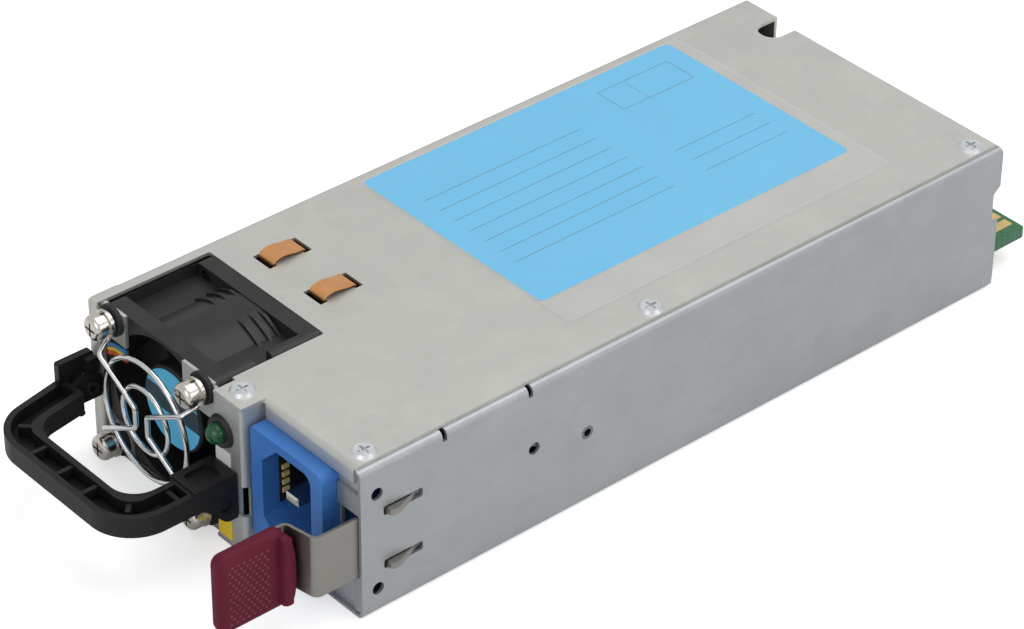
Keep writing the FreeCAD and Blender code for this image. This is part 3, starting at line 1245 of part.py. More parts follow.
def power_parts():
    """The parts that the board carries: capacitors, chokes, transformer and heatsinks."""
    seat = float(BOARD_TOP)
    bulk_radius = 12.8
    bulk = rod((18.5, 34.0, seat + bulk_radius + 0.05), BACK, bulk_radius, 46.0)
    rims = [edge for edge in bulk.Edges if edge.Closed]
    solid_piece("bulk_capacitor", bulk.makeFillet(1.2, rims))
    chokes = [toroid((64.0, 36.0), 11.5, 5.0, 9.0), toroid((64.0, 66.0), 12.0, 5.4, 10.0)]
    solid_piece("filter_chokes", Part.makeCompound(chokes))
    core = new_body("transformer_core")
    left, front, rear = 26.0, 98.0, 130.0
    wide = 36.0
    tall = 26.0
    pad_back(core, front, rear, rectangle(left, seat, left + wide, seat + tall))
    windows = [rounded([(left + 6 + k * 15.5, seat + 5), (left + 14.5 + k * 15.5, seat + 5),
                        (left + 14.5 + k * 15.5, seat + tall - 5), (left + 6 + k * 15.5, seat + tall - 5)], 0.5)
               for k in (0, 1)]
    cut_back(core, front - 1, rear + 1, *windows)
    coil = new_body("transformer_coil")
    middle = left + wide / 2
    pad_up(coil, seat + 5.3, seat + tall - 5.3,
           rounded([(middle - 11.6, front - 4), (middle + 11.6, front - 4),
                    (middle + 11.6, rear + 4), (middle - 11.6, rear + 4)], 4),
           rectangle(middle - 3.8, front - 0.2, middle + 3.8, rear + 0.2))
    cans = []
    for column in range(3):
        for row in range(2):
            can = rod((26.0 + column * 12.5, 160.0 + row * 12.5, seat), UP, 5.0, 20.0)
            cans.append(can.makeFillet(0.8, [e for e in can.Edges if e.Closed and e.BoundBox.ZMin > seat + 1]))
    solid_piece("output_capacitors", Part.makeCompound(cans))
    heatsink("heatsink_primary", dim(44.0), dim(32.0), dim(84.0), 6)
    heatsink("heatsink_secondary", dim(68.0), dim(96.0), dim(150.0), 6)


# ---------------------------------------------------------------------------------------------
# Labels
# ---------------------------------------------------------------------------------------------

def labels():
    """Rating label with its clear film on the cover, and two small stickers on the panel."""
    front = dim(67.3)
    rating = new_body("rating_label")
    pad_up(rating, s.body_height, s.body_height + s.label_gauge,
           rounded([(3.6, front), (3.6 + s.label_width, front),
                    (3.6 + s.label_width, front + s.label_length), (3.6, front + s.label_length)], 1.5))
    film = new_body("label_film")
    pad_up(film, s.body_height + s.label_gauge, s.body_height + s.label_gauge + 0.05,
           rounded([(3.0, front - 0.6), (74.6, front - 0.6), (74.6, front + s.label_length + 3.4),
                    (3.0, front + s.label_length + 3.4)], 1.5))
    sticker = new_body("panel_sticker")
    pad_back(sticker, PANEL_FACE - 0.1, PANEL_FACE, rectangle(s.panel_left + 0.7, 21.4, s.panel_left + 5.7, 25.0))
    yellow = new_body("yellow_sticker")
    pad_back(yellow, PANEL_FACE - 0.1, PANEL_FACE, rectangle(s.panel_left + 0.6, 1.6, s.panel_left + 5.3, 6.6))


PIN_SPOTS = [(float(INLET_X) - 1.2, float(s.inlet_height), 2.0),
             (float(INLET_X) + 2.8, float(s.inlet_height) + 7.0, 5.4),
             (float(INLET_X) + 2.8, float(s.inlet_height) - 7.0, 5.4)]
BOARD_FRONT = dim(FAN_REAR + 2.0)
STANDOFF_SPOTS = [(8.0, 32.0), (76.0, 60.0), (8.0, 106.0), (76.0, 162.0), (14.0, 178.0)]
LEAD_RADIUS = 0.5
STATOR_LENGTH = 11.0

chassis_tray()
top_cover()
front_panel()
rear_panel()
cover_screws()
for clip_name, clip_centre in CLIP_CENTRES.items():
    ground_clip(clip_name, clip_centre)
fan_housing()
fan_rotor()
fan_inner_pieces()
fan_fixings()
fan_guard()
fan_leads()
handle_loop()
handle_pins()
status_indicator()
inlet()
latch()
main_board()
inlet_board()
power_parts()
labels()

doc.recompute()

for item in doc.Objects:
    if "Invalid" in item.State or "Error" in item.State:
        raise RuntimeError("failed: %s %s" % (item.Label, item.State))
for piece in pieces:
    if piece.Shape.isNull() or not piece.Shape.isValid():
        raise RuntimeError("bad shape: " + piece.Label)

os.makedirs("parts", exist_ok=True)
for piece in pieces:
    piece.Shape.exportStep(os.path.join("parts", piece.Label + ".step"))
print("%d pieces written" % len(pieces))
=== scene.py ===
# This lesson gives every part its finish and adds the fine pieces that a solid leaves out. All lengths
# are in metres, and the origin lies under the middle of the case.

import bpy
import numpy as np
from mathutils import Matrix, Vector


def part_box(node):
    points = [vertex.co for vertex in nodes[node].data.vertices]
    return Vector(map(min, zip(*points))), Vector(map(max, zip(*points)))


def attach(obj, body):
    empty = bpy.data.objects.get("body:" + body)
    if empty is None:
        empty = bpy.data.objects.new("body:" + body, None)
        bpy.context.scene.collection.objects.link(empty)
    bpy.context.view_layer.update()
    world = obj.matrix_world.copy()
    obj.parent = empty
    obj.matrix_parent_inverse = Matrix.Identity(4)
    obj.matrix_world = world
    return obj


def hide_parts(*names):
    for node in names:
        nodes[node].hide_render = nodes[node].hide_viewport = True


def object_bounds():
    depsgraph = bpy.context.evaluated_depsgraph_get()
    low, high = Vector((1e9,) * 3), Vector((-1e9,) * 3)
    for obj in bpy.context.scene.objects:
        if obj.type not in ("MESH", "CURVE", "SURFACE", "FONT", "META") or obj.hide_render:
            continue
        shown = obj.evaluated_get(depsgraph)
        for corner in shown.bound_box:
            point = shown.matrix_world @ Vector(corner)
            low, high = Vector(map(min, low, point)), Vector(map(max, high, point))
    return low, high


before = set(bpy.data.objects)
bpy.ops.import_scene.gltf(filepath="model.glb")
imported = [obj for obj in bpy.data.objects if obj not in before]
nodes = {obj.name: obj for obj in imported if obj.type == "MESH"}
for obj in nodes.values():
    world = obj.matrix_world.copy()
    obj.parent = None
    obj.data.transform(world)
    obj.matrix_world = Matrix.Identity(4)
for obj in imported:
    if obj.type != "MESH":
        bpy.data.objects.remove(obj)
frame_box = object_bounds()
MM = 0.001

# %% [markdown]
# ## The camera
#
# Product pictures of long, low boxes are taken with a long lens from above one corner, so that the far end
# hardly shrinks. The camera is placed by the point it looks at, two angles and a distance, because those
# four can be judged one at a time.

# %% Camera
def camera_at(target, azimuth, elevation, roll, distance, lens, shift):
    """A camera at target + distance * (sin a cos e, -cos a cos e, sin e), rolled about its own axis."""
    a, e, r = np.radians([azimuth, elevation, roll])
    back = np.array([np.sin(a) * np.cos(e), -np.cos(a) * np.cos(e), np.sin(e)])
    level = np.array([np.cos(a), np.sin(a), 0.0])
    upright = np.cross(back, level)
    right = np.cos(r) * level + np.sin(r) * upright
    up = -np.sin(r) * level + np.cos(r) * upright
    data = bpy.data.cameras.new("studio_camera")
    data.sensor_width = 36.0
    data.lens = lens
    data.shift_x, data.shift_y = shift
    data.clip_end = 10.0
    camera = bpy.data.objects.new("studio_camera", data)
    place = Matrix.Identity(4)
    for column, axis in enumerate((right, up, back)):
        for row in range(3):
            place[row][column] = axis[row]
    place.translation = Vector(target) + Vector(back) * distance
    camera.matrix_world = place
    bpy.context.scene.collection.objects.link(camera)
    bpy.context.scene.camera = camera
    return camera


camera = camera_at(
    target=(-4.43 * MM, -11.49 * MM, 14.1 * MM),
    azimuth=48.75,
    elevation=35.23,
    roll=0.66,
    distance=0.876,
    lens=137.1,
    shift=(-0.0039, 0.0015),
)
print("camera stands at", [round(v, 3) for v in camera.matrix_world.translation])

# %% [markdown]
# ## A small language for surfaces
#
# A finish is a graph of nodes, and long graphs are hard to read. Here a value that varies over a surface is
# a `Field`, and ordinary arithmetic on it adds the Math nodes.

# %% Fields
class Field:
    """A number or colour that changes over a surface: one output socket of a finish."""

    def __init__(self, finish, socket):
        self.finish = finish
        self.socket = socket

    def maths(self, operation, first, second):
        return self.finish.node("ShaderNodeMath", {"operation": operation}, {0: first, 1: second})

    def __add__(self, other):
        return self.maths("ADD", self, other)

    def __radd__(self, other):
        return self.maths("ADD", other, self)

    def __sub__(self, other):
        return self.maths("SUBTRACT", self, other)

    def __rsub__(self, other):
        return self.maths("SUBTRACT", other, self)

    def __mul__(self, other):
        return self.maths("MULTIPLY", self, other)

    def __rmul__(self, other):
        return self.maths("MULTIPLY", other, self)

    def most(self, other):
        return self.maths("MAXIMUM", self, other)

    def size(self):
        """The value without its sign."""
        return self.finish.node("ShaderNodeMath", {"operation": "ABSOLUTE"}, {0: self})

    def between(self, low, high):
        """0 below low, 1 above high, and smooth between them."""
        return self.finish.node(
            "ShaderNodeMapRange",
            {"interpolation_type": "SMOOTHSTEP"},
            {"Value": self, "From Min": low, "From Max": high},
        )


print("a field knows", [word for word in vars(Field) if not word.startswith("_")])

# %% [markdown]
# ## One material, one finish
#
# A `Finish` holds one Principled shader. One method makes any other node by its name, a few more make the
# patterns that return again and again, and `dress` hands the finish to whole parts. Every pattern reads the
# Object coordinates in millimetres, so a size in a pattern is a size on the piece.

# %% Finishes
class Finish:
    """One material: a Principled shader with the fields that feed it."""

    def __init__(self, name, **constants):
        self.material = bpy.data.materials.new(name)
        self.material.use_nodes = True
        self.tree = self.material.node_tree
        self.tree.nodes.clear()
        self.output = self.tree.nodes.new("ShaderNodeOutputMaterial")
        self.shader = self.tree.nodes.new("ShaderNodeBsdfPrincipled")
        self.tree.links.new(self.shader.outputs[0], self.output.inputs[0])
        self.feed(**constants)

    def node(self, kind, settings, sockets, output=0):
        """A node of any kind: its settings first, then its sockets, and one output as a field."""
        made = self.tree.nodes.new(kind)
        for name, value in settings.items():
            setattr(made, name, value)
        for name, value in sockets.items():
            if isinstance(value, Field):
                self.tree.links.new(value.socket, made.inputs[name])
            else:
                made.inputs[name].default_value = value
        return Field(self, made.outputs[output])

    def feed(self, **values):
        """Sets or links the shader's sockets, written as base_color, roughness and so on."""
        for word, value in values.items():
            name = "Specular IOR Level" if word == "specular" else word.replace("_", " ").title()
            socket = self.shader.inputs[name]
            if isinstance(value, Field):
                self.tree.links.new(value.socket, socket)
            elif isinstance(value, tuple):
                socket.default_value = (*value, 1.0)
            else:
                socket.default_value = value

    def place(self, stretch=(1.0, 1.0, 1.0), centre=(0.0, 0.0, 0.0)):
        """The point on the piece in millimetres, counted from centre and stretched."""
        raw = self.node("ShaderNodeTexCoord", {}, {}, output="Object")
        middle = self.node("ShaderNodeVectorMath", {"operation": "SUBTRACT"}, {0: raw, 1: centre})
        scale = tuple(share / MM for share in stretch)
        return self.node("ShaderNodeMapping", {}, {"Vector": middle, "Scale": scale})

    def axes(self, **where):
        """The three coordinates of a place as separate fields, in millimetres."""
        point = self.place(**where)
        return [self.node("ShaderNodeSeparateXYZ", {}, {0: point}, output=letter) for letter in "XYZ"]

    def noise(self, size, detail=2.0, rough=0.5, **where):
        """Clouds about size millimetres across."""
        return self.node(
            "ShaderNodeTexNoise",
            {},
            {"Vector": self.place(**where), "Scale": 1.0 / size, "Detail": detail, "Roughness": rough},
        )

    def cells(self, size):
        """Flat patches about size millimetres across, each with its own colour."""
        sockets = {"Vector": self.place(), "Scale": 1.0 / size}
        return self.node("ShaderNodeTexVoronoi", {}, sockets, output="Color")

    def mix(self, amount, first, second):
        """A colour between two colours, each a field or three numbers."""
        start, end = [c if isinstance(c, Field) else (*c, 1.0) for c in (first, second)]
        # A Mix node has sockets for every data type: 6, 7 and output 2 are those of colours.
        return self.node("ShaderNodeMix", {"data_type": "RGBA"}, {0: amount, 6: start, 7: end}, output=2)

    def grey(self, colour):
        """A colour's brightness as a number."""
        return self.node("ShaderNodeRGBToBW", {}, {0: colour})

    def relief(self, height, depth):
        """Bumps from a height field that runs from 0 to 1, depth millimetres deep."""
        bump = self.node("ShaderNodeBump", {}, {"Height": height, "Strength": 1.0, "Distance": depth * MM})
        self.feed(normal=bump)

    def dress(self, *names):
        """Gives the finish to whole parts of the frame."""
        for name in names:
            slots = nodes[name].data.materials
            slots.clear()
            slots.append(self.material)
        return self


print("a finish can make", [word for word in vars(Finish) if not word.startswith("_")])

# %% [markdown]
# ## The studio
#
# A pale sweep with large soft lamps keeps sheet metal readable: broad highlights and no hard edges. The
# backdrop is fully white only for rays from the camera or through a clear film. Mirror-like rays meet a
# pale grey room and all other rays a darker one, so that the metal keeps its shading.

# %% Floor, room and lamps
def white_room(gloss, lit):
    """A world that is white to camera and glass rays, gloss to mirror-like rays, and lit to the rest."""
    world = bpy.data.worlds.new("studio_room")
    bpy.context.scene.world = world
    world.use_nodes = True
    tree = world.node_tree
    tree.nodes.clear()
    path = tree.nodes.new("ShaderNodeLightPath")
    mirrored = tree.nodes.new("ShaderNodeMapRange")
    tree.links.new(path.outputs["Is Glossy Ray"], mirrored.inputs[0])
    mirrored.inputs["To Min"].default_value = lit
    mirrored.inputs["To Max"].default_value = gloss
    seen = tree.nodes.new("ShaderNodeMath")
    seen.operation = "MAXIMUM"
    tree.links.new(path.outputs["Is Camera Ray"], seen.inputs[0])
    tree.links.new(path.outputs["Is Transmission Ray"], seen.inputs[1])
    level = tree.nodes.new("ShaderNodeMapRange")
    tree.links.new(seen.outputs[0], level.inputs[0])
    tree.links.new(mirrored.outputs[0], level.inputs["To Min"])
    glow = tree.nodes.new("ShaderNodeBackground")
    glow.inputs[0].default_value = (1.0, 1.0, 1.0, 1.0)
    tree.links.new(level.outputs[0], glow.inputs[1])
    out = tree.nodes.new("ShaderNodeOutputWorld")
    tree.links.new(glow.outputs[0], out.inputs[0])


def studio_floor(half, height):
    """A square at floor height: nearly white paper, with a glow that only camera rays meet."""
    corners = [(-half, -half, height), (half, -half, height), (half, half, height), (-half, half, height)]
    mesh = bpy.data.meshes.new("studio_floor")
    mesh.from_pydata(corners, [], [(0, 1, 2, 3)])
    floor = bpy.data.objects.new("studio_floor", mesh)
    bpy.context.scene.collection.objects.link(floor)
    paper = Finish("studio_paper", base_color=(0.86, 0.86, 0.86), roughness=0.9, specular=0.1)
    path = paper.tree.nodes.new("ShaderNodeLightPath")
    seen = Field(paper, path.outputs["Is Camera Ray"])
    paper.feed(emission_color=paper.mix(seen, (0.0, 0.0, 0.0), (0.50, 0.50, 0.50)), emission_strength=1.0)
    mesh.materials.append(paper.material)
    return floor


def softbox(name, place, aim, width, height, power):
    """A rectangular lamp at place that faces aim."""
    data = bpy.data.lights.new(name, "AREA")
    data.shape = "RECTANGLE"
    data.size = width
    data.size_y = height
    data.energy = power
    lamp = bpy.data.objects.new(name, data)
    lamp.location = place
    lamp.rotation_euler = (Vector(aim) - Vector(place)).to_track_quat("-Z", "Y").to_euler()
    bpy.context.scene.collection.objects.link(lamp)


bpy.context.scene.view_settings.view_transform = "Standard"
white_room(gloss=0.66, lit=0.55)
floor = studio_floor(half=3.0, height=frame_box[0][2] - 0.2 * MM)
softbox("overhead_box", place=(0.12, 0.30, 0.95), aim=(0.0, 0.03, 0.0), width=0.9, height=0.9, power=4.8)
softbox("front_box", place=(0.35, -0.95, 0.55), aim=(0.0, -0.05, 0.0), width=0.7, height=0.6, power=2.2)
softbox("side_box", place=(1.05, 0.25, 0.45), aim=(0.0, 0.0, 0.0), width=0.6, height=0.6, power=1.6)
print("floor at", round(floor.data.vertices[0].co.z / MM, 2), "mm, three soft lamps")

# %% [markdown]
# ## Zinc-plated sheet
#
# Plated steel looks flat grey from afar, but close up it has three layers: faint crystal patches left by the
# bath, streaks along the rolling direction, and a haze of handling marks that changes the gloss. Each layer
# moves the colour by only a few hundredths, because strong patches would read as dirt.

# %% Zinc sheet
def zinc_sheet(name, light, dark):
    """Colour = dark to light by patches, streaks and haze, less specks; roughness = 0.36 + haze + grain."""
    sheet = Finish(name, metallic=0.72)
    patches = sheet.grey(sheet.cells(5.5)) * 0.35 + sheet.noise(14.0, 3.0) * 0.65
    streaks = sheet.noise(1.1, 3.0, 0.6, stretch=(1.0, 0.05, 1.0))
    haze = sheet.noise(28.0, 4.0, 0.6)
    grain = sheet.noise(0.22, 2.0)
    tone = (patches * 0.55 + streaks * 0.25 + haze * 0.2).between(0.25, 0.75)
    speck = grain.between(0.62, 0.80) * 0.10
    sheet.feed(
        base_color=sheet.mix(tone - speck, dark, light),
        roughness=0.36 + haze * 0.12 + grain * 0.06,
    )
    sheet.relief(grain * 0.6 + streaks * 0.4, 0.02)
    return sheet


zinc_sheet("cover_zinc", (0.60, 0.60, 0.565), (0.545, 0.545, 0.515)).dress("top_cover", "board_standoffs")
zinc_sheet("wall_zinc", (0.415, 0.435, 0.45), (0.36, 0.38, 0.395)).dress("chassis_tray")
zinc_sheet("panel_zinc", (0.53, 0.545, 0.55), (0.47, 0.485, 0.49)).dress("front_panel", "rear_panel")
print("zinc on the cover, the walls and the panels")

# %% [markdown]
# ## Bright and spring metals
#
# Screws are nickel or zinc plated and nearly even, with a faint cloud in the plating. The guard is bright
# wire. The latch leaf is hard spring steel, brushed along its length, and the two grounding fingers are a
# copper alloy, brushed across. The streak direction does most of this: noise that is stretched along one
# axis turns into brush marks.

# %% Screws, wire, spring and copper
def bright_metal(name, light, dark, rough, streak=(1.0, 1.0, 1.0), depth=0.01):
    """Colour between dark and light by fine streaks; roughness = rough + 0.1 * clouds."""
    metal = Finish(name, metallic=1.0)
    fine = metal.noise(0.35, 3.0, 0.6, stretch=streak)
    cloud = metal.noise(3.0, 2.0)
    tone = (fine * 0.6 + cloud * 0.4).between(0.3, 0.7)
    metal.feed(base_color=metal.mix(tone, dark, light), roughness=rough + cloud * 0.10)
    metal.relief(fine, depth)
    return metal


bright_metal("screw_nickel", (0.72, 0.69, 0.63), (0.60, 0.57, 0.52), 0.18).dress(
    "fan_screws", "fan_washers", "board_screws", "inlet_pins"
)
bright_metal("screw_zinc", (0.80, 0.83, 0.85), (0.66, 0.69, 0.71), 0.30, (0.2, 0.2, 0.2)).dress(
    "cover_screws"
)
bright_metal("rivet_steel", (0.24, 0.24, 0.24), (0.18, 0.18, 0.18), 0.34).dress("latch_rivet")
bright_metal("guard_chrome", (0.80, 0.81, 0.82), (0.66, 0.67, 0.68), 0.10, depth=0.004).dress("fan_guard")
bright_metal("leaf_steel", (0.305, 0.295, 0.272), (0.283, 0.273, 0.252), 0.34, (0.08, 0.08, 1.0)).dress(
    "latch_leaf"
)
bright_metal("clip_copper", (0.80, 0.41, 0.180), (0.70, 0.34, 0.14), 0.30, (1.0, 0.1, 0.1)).dress(
    "ground_clip_left", "ground_clip_right"
)
bright_metal("shaft_steel", (0.60, 0.60, 0.62), (0.48, 0.48, 0.50), 0.22, (1.0, 0.1, 1.0)).dress("fan_shaft")
bright_metal("bearing_bronze", (0.60, 0.44, 0.26), (0.42, 0.30, 0.18), 0.40).dress("fan_bearings")
bright_metal("contact_gold", (0.93, 0.72, 0.34), (0.78, 0.58, 0.24), 0.22, (1.0, 0.06, 1.0)).dress(
    "edge_contacts"
)
# Painted light: the inlet's contacts get a lighter gold than the board's contacts and a lower metallic share,
# so that they stay bright in the inlet's shade.
signal = bright_metal("signal_gold_painted_light", (1.00, 0.80, 0.38), (0.94, 0.72, 0.30), 0.42, (1.0, 0.06, 1.0))
signal.feed(metallic=0.35)
signal.dress("inlet_contacts")
bright_metal("sink_aluminium", (0.72, 0.73, 0.74), (0.60, 0.61, 0.62), 0.34, (1.0, 0.05, 1.0)).dress(
    "heatsink_primary", "heatsink_secondary"
)
# The inlet contacts' lighter gold is painted light, not a glow of their own.
print("bright metals dressed; the contacts' metallic share is lowered for their warm, even glow")

# %% [markdown]
# ## Moulded plastics
#
# The plastics differ mainly in gloss and grain. The handle is glass-filled nylon with a spark-eroded grain,
# the fan frame is smoother and shows a soft sheen, and the coloured inlet and grip are satin mouldings whose
# colour drifts a little in slow clouds. One function makes them all, because only its numbers change.

# %% Plastics
def moulded(name, light, dark, rough, grain=0.3, depth=0.02, gloss=0.4):
    """Colour = dark to light by slow clouds; roughness = rough + clouds + grain; the grain as relief."""
    plastic = Finish(name, specular=gloss)
    clouds = plastic.noise(9.0, 3.0, 0.55)
    eroded = plastic.noise(grain, 2.0, 0.6)
    tone = (clouds * 0.8 + eroded * 0.2).between(0.3, 0.7)
    plastic.feed(base_color=plastic.mix(tone, dark, light), roughness=rough + clouds * 0.08 + eroded * 0.06)
    plastic.relief(eroded, depth)
    return plastic


moulded("handle_nylon", (0.012, 0.012, 0.011), (0.008, 0.008, 0.008), 0.36, 0.35, 0.03, 0.25).dress(
    "handle_loop"
)
moulded("fan_black", (0.022, 0.022, 0.020), (0.013, 0.013, 0.013), 0.36, 0.5, 0.012, 0.35).dress(
    "fan_housing", "fan_rotor"
)
moulded("inlet_blue", (0.055, 0.200, 0.570), (0.042, 0.165, 0.490), 0.38, 0.4, 0.012, 0.3).dress(
    "inlet_bezel"
)
moulded("grip_maroon", (0.122, 0.011, 0.028), (0.100, 0.008, 0.022), 0.50, 0.4, 0.02, 0.14).dress(
    "latch_grip"
)
# Painted highlight: the domes are the grip's own maroon plastic, given a paler copy of it so that their tops
# read as lit.
moulded("grip_dot_painted_highlight", (0.190, 0.040, 0.062), (0.150, 0.028, 0.048), 0.40, 0.4, 0.02, 0.35)
moulded("core_black", (0.018, 0.018, 0.018), (0.010, 0.010, 0.010), 0.40).dress(
    "inlet_core", "led_holder", "handle_pins"
)
moulded("grommet_rubber", (0.030, 0.030, 0.030), (0.018, 0.018, 0.018), 0.62, 0.6, 0.03, 0.3).dress(
    "fan_grommets"
)
moulded("film_black", (0.040, 0.040, 0.042), (0.028, 0.028, 0.030), 0.45).dress("insulator_sheet")
moulded("can_sleeve", (0.020, 0.022, 0.040), (0.012, 0.014, 0.028), 0.30).dress(
    "bulk_capacitor", "output_capacitors"
)
moulded("ferrite_grey", (0.070, 0.070, 0.074), (0.045, 0.045, 0.048), 0.60, 0.3, 0.05).dress(
    "transformer_core"
)
moulded("lead_blue", (0.050, 0.230, 0.520), (0.040, 0.190, 0.440), 0.35).dress("fan_lead_blue")
moulded("lead_yellow", (0.800, 0.560, 0.060), (0.700, 0.470, 0.040), 0.35).dress("fan_lead_yellow")
moulded("lead_red", (0.620, 0.110, 0.030), (0.520, 0.080, 0.020), 0.35).dress("fan_lead_red")
print("plastics and rubber dressed")

# %% [markdown]
# ## Windings and boards
#
# Wound wire shows as fine parallel ridges, so the coil's relief and its colour follow one wave; the colour
# darkens in the grooves as painted shade. A circuit board's solder mask lets traces show through as slightly
# lighter lines.

# %% Windings and boards
def wound_wire(name, across):
    """Ridges = 0.5 + 0.5 * sine of the place along axis number across; darker in the grooves as painted
    shade.
    """
    coil = Finish(name, metallic=0.8)
    turns = coil.axes()[across] * 9.0
    wave = coil.node("ShaderNodeMath", {"operation": "SINE"}, {0: turns}) * 0.5 + 0.5
    # Painted shade: dark copper in the grooves, light copper on the crests.
    coil.feed(base_color=coil.mix(wave, (0.30, 0.12, 0.05), (0.72, 0.36, 0.18)), roughness=0.30 + wave * 0.08)
    coil.relief(wave, 0.12)
    return coil


def solder_mask(name):
    """Green lacquer with lighter square traces from a brick pattern."""
    board = Finish(name, specular=0.5)
    lines = board.node(
        "ShaderNodeTexBrick",
        {"offset": 0.5},
        {
            "Vector": board.place(),
            "Color1": (0.0, 0.0, 0.0, 1.0),
            "Color2": (0.25, 0.25, 0.25, 1.0),
            "Mortar": (1.0, 1.0, 1.0, 1.0),
            "Scale": 0.25,
            "Mortar Size": 0.03,
        },
    )
    trace = board.grey(lines)
    lacquer = board.mix(trace, (0.018, 0.110, 0.050), (0.050, 0.200, 0.090))
    board.feed(base_color=lacquer, roughness=0.26 + trace * 0.1)
    board.relief(trace, 0.03)
    return board


wound_wire("coil_copper", 2).dress("transformer_coil", "fan_stator")
wound_wire("choke_copper", 1).dress("filter_chokes")
solder_mask("board_mask").dress("main_board", "inlet_board")
print("copper and green boards dressed")

# %% [markdown]
# ## The lamp, the labels and the film
#
# The status lamp is a dome of dyed epoxy: deep green, with a smooth surface. The labels are printed film. The
# large one carries the thin rules of an empty form: a rule is wherever the distance to a line is small, so
# it stays sharp at any size. The clear film over it is mostly seen by its gloss.

# %% Lamp, labels and film
lens = Finish("lamp_green", roughness=0.22, specular=0.5)
depth = lens.noise(2.2, 1.0)
lens.feed(base_color=lens.mix(depth, (0.003, 0.050, 0.018), (0.006, 0.090, 0.032)))
lens.dress("status_led")


def printed_film(name, light, dark, rough, ink=None):
    """Even colour with a paper tooth: dark to light by tooth and cloud; ink(paper) is a mask of print."""
    paper = Finish(name, specular=0.3)
    tooth = paper.noise(0.25, 2.0)
    cloud = paper.noise(22.0, 2.0)
    tone = paper.mix((tooth * 0.3 + cloud * 0.7).between(0.3, 0.7), dark, light)
    if ink is not None:
        tone = paper.mix(ink(paper), tone, (0.020, 0.035, 0.050))
    paper.feed(base_color=tone, roughness=rough + tooth * 0.08)
    paper.relief(tooth, 0.006)
    return paper


def blank_form(paper):
    """Rules of an empty form in two columns, and one empty frame with a divider.

    A rule is ink where the distance to the nearest multiple of the pitch is small. The frame's line is ink
    where the larger of the two distances to its sides is near nought. Places count from the label's middle.
    """
    pitch = 5.2
    columns = [((-41.0, 6.0), (-17.0, 16.0)), ((16.0, 41.0), (0.5, 16.0))]
    frame_across, frame_along = -20.0, 30.0
    half_across, half_along = 4.6, 11.0
    divider_along = 27.0
    line, faded = 0.07, 0.16
    strength = 0.62

    low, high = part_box("rating_label")
    across, along, _ = paper.axes(centre=((low.x + high.x) / 2, (low.y + high.y) / 2, 0.0))

    def inside(field, least, most):
        return field.between(least, least + 0.05) * (1.0 - field.between(most - 0.05, most))

    nearest = paper.node("ShaderNodeMath", {"operation": "PINGPONG"}, {0: across + 5 * pitch, 1: pitch / 2})
    rule = 1.0 - nearest.between(line, faded)
    left, right = [inside(along, *run) * inside(across, *rows) for run, rows in columns]
    edge = ((across - frame_across).size() - half_across).most((along - frame_along).size() - half_along)
    frame_line = 1.0 - edge.size().between(line, faded)
    divider = (1.0 - (along - divider_along).size().between(0.05, 0.12)) * (1.0 - edge.between(-0.05, 0.0))
    return (rule * left.most(right)).most(frame_line).most(divider) * strength


def dark_band(paper):
    """A plain band across the fan's label: ink where the height above its middle is within the band."""
    band_middle, band_half = 0.95, 2.6
    strength = 0.96
    low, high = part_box("hub_label")
    up = paper.axes(centre=(0.0, 0.0, (low.z + high.z) / 2))[2]
    return strength - (up - band_middle).size().between(band_half, band_half + 0.1) * strength


printed_film("label_blue", (0.095, 0.610, 0.960), (0.085, 0.585, 0.935), 0.42, blank_form).dress(
    "rating_label"
)
printed_film("label_white", (0.80, 0.80, 0.78), (0.74, 0.74, 0.72), 0.50).dress("panel_sticker")
printed_film("label_yellow", (0.90, 0.66, 0.03), (0.84, 0.60, 0.02), 0.45).dress("yellow_sticker")
printed_film("hub_blue", (0.13, 0.60, 0.95), (0.11, 0.55, 0.90), 0.40, dark_band).dress("hub_label")

film = Finish("clear_film", base_color=(0.80, 0.80, 0.78), roughness=0.22, specular=0.5)
film.feed(alpha=0.14 + film.noise(6.0, 2.0) * 0.04)
film.dress("label_film")
print("lamp, labels and film dressed")

# %% [markdown]
# ## Building pieces from arrays
#
# The pieces below are grids: rows of points, each joined to the next row. A closed section swept along a
# line gives a bar of any form, and its two ends are closed with one face each.

# %% Sweeps
def new_piece(name, points, faces, finish, body):
    """A mesh piece that rides on a body and takes its finish from a slot."""
    mesh = bpy.data.meshes.new(name)
    mesh.from_pydata(np.asarray(points).reshape(-1, 3).tolist(), [], [list(f) for f in faces])
    mesh.materials.append(bpy.data.materials[finish])
    mesh.shade_smooth()
    piece = bpy.data.objects.new(name, mesh)
    bpy.context.scene.collection.objects.link(piece)
    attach(piece, body)
    print(name, len(mesh.vertices), "points", len(mesh.polygons), "faces")
    return piece


def swept_faces(rows, around):
    """Faces of a grid whose rows close on themselves, with a face over each end."""
    row, step = np.meshgrid(np.arange(rows - 1), np.arange(around), indexing="ij")
    after = (step + 1) % around
    quads = np.stack([row * around + step, row * around + after,
                      (row + 1) * around + after, (row + 1) * around + step], axis=-1).reshape(-1, 4)
    first = list(range(around))[::-1]
    last = [(rows - 1) * around + k for k in range(around)]
    return quads.tolist() + [first, last]


def smooth_path(corners, steps):
    """A Catmull-Rom curve: a cubic in t between each pair of corners, its slope half the chord around it."""
    c = np.asarray(corners, float)
    c = np.vstack([2 * c[0] - c[1], c, 2 * c[-1] - c[-2]])
    t = np.linspace(0.0, 1.0, steps, endpoint=False)[:, None]
    runs = []
    for a, b, d, e in zip(c, c[1:], c[2:], c[3:]):
        runs.append(b + 0.5 * t * (d - a + t * (2 * a - 5 * b + 4 * d - e + t * (3 * (b - d) + e - a))))
    return np.vstack([*runs, c[-2:-1]])


print("sweep helpers ready")

# %% [markdown]
# ## The sprung grounding fingers
#
# Each finger is a wave: it leaves the front slot steeply, passes its crest early, and sinks in a hollow curve
# towards the rear slot, where it hooks under again. The centre line is a smooth curve through points given
# as shares of the finger's own box, and the strip is that line with its thickness along the normal.

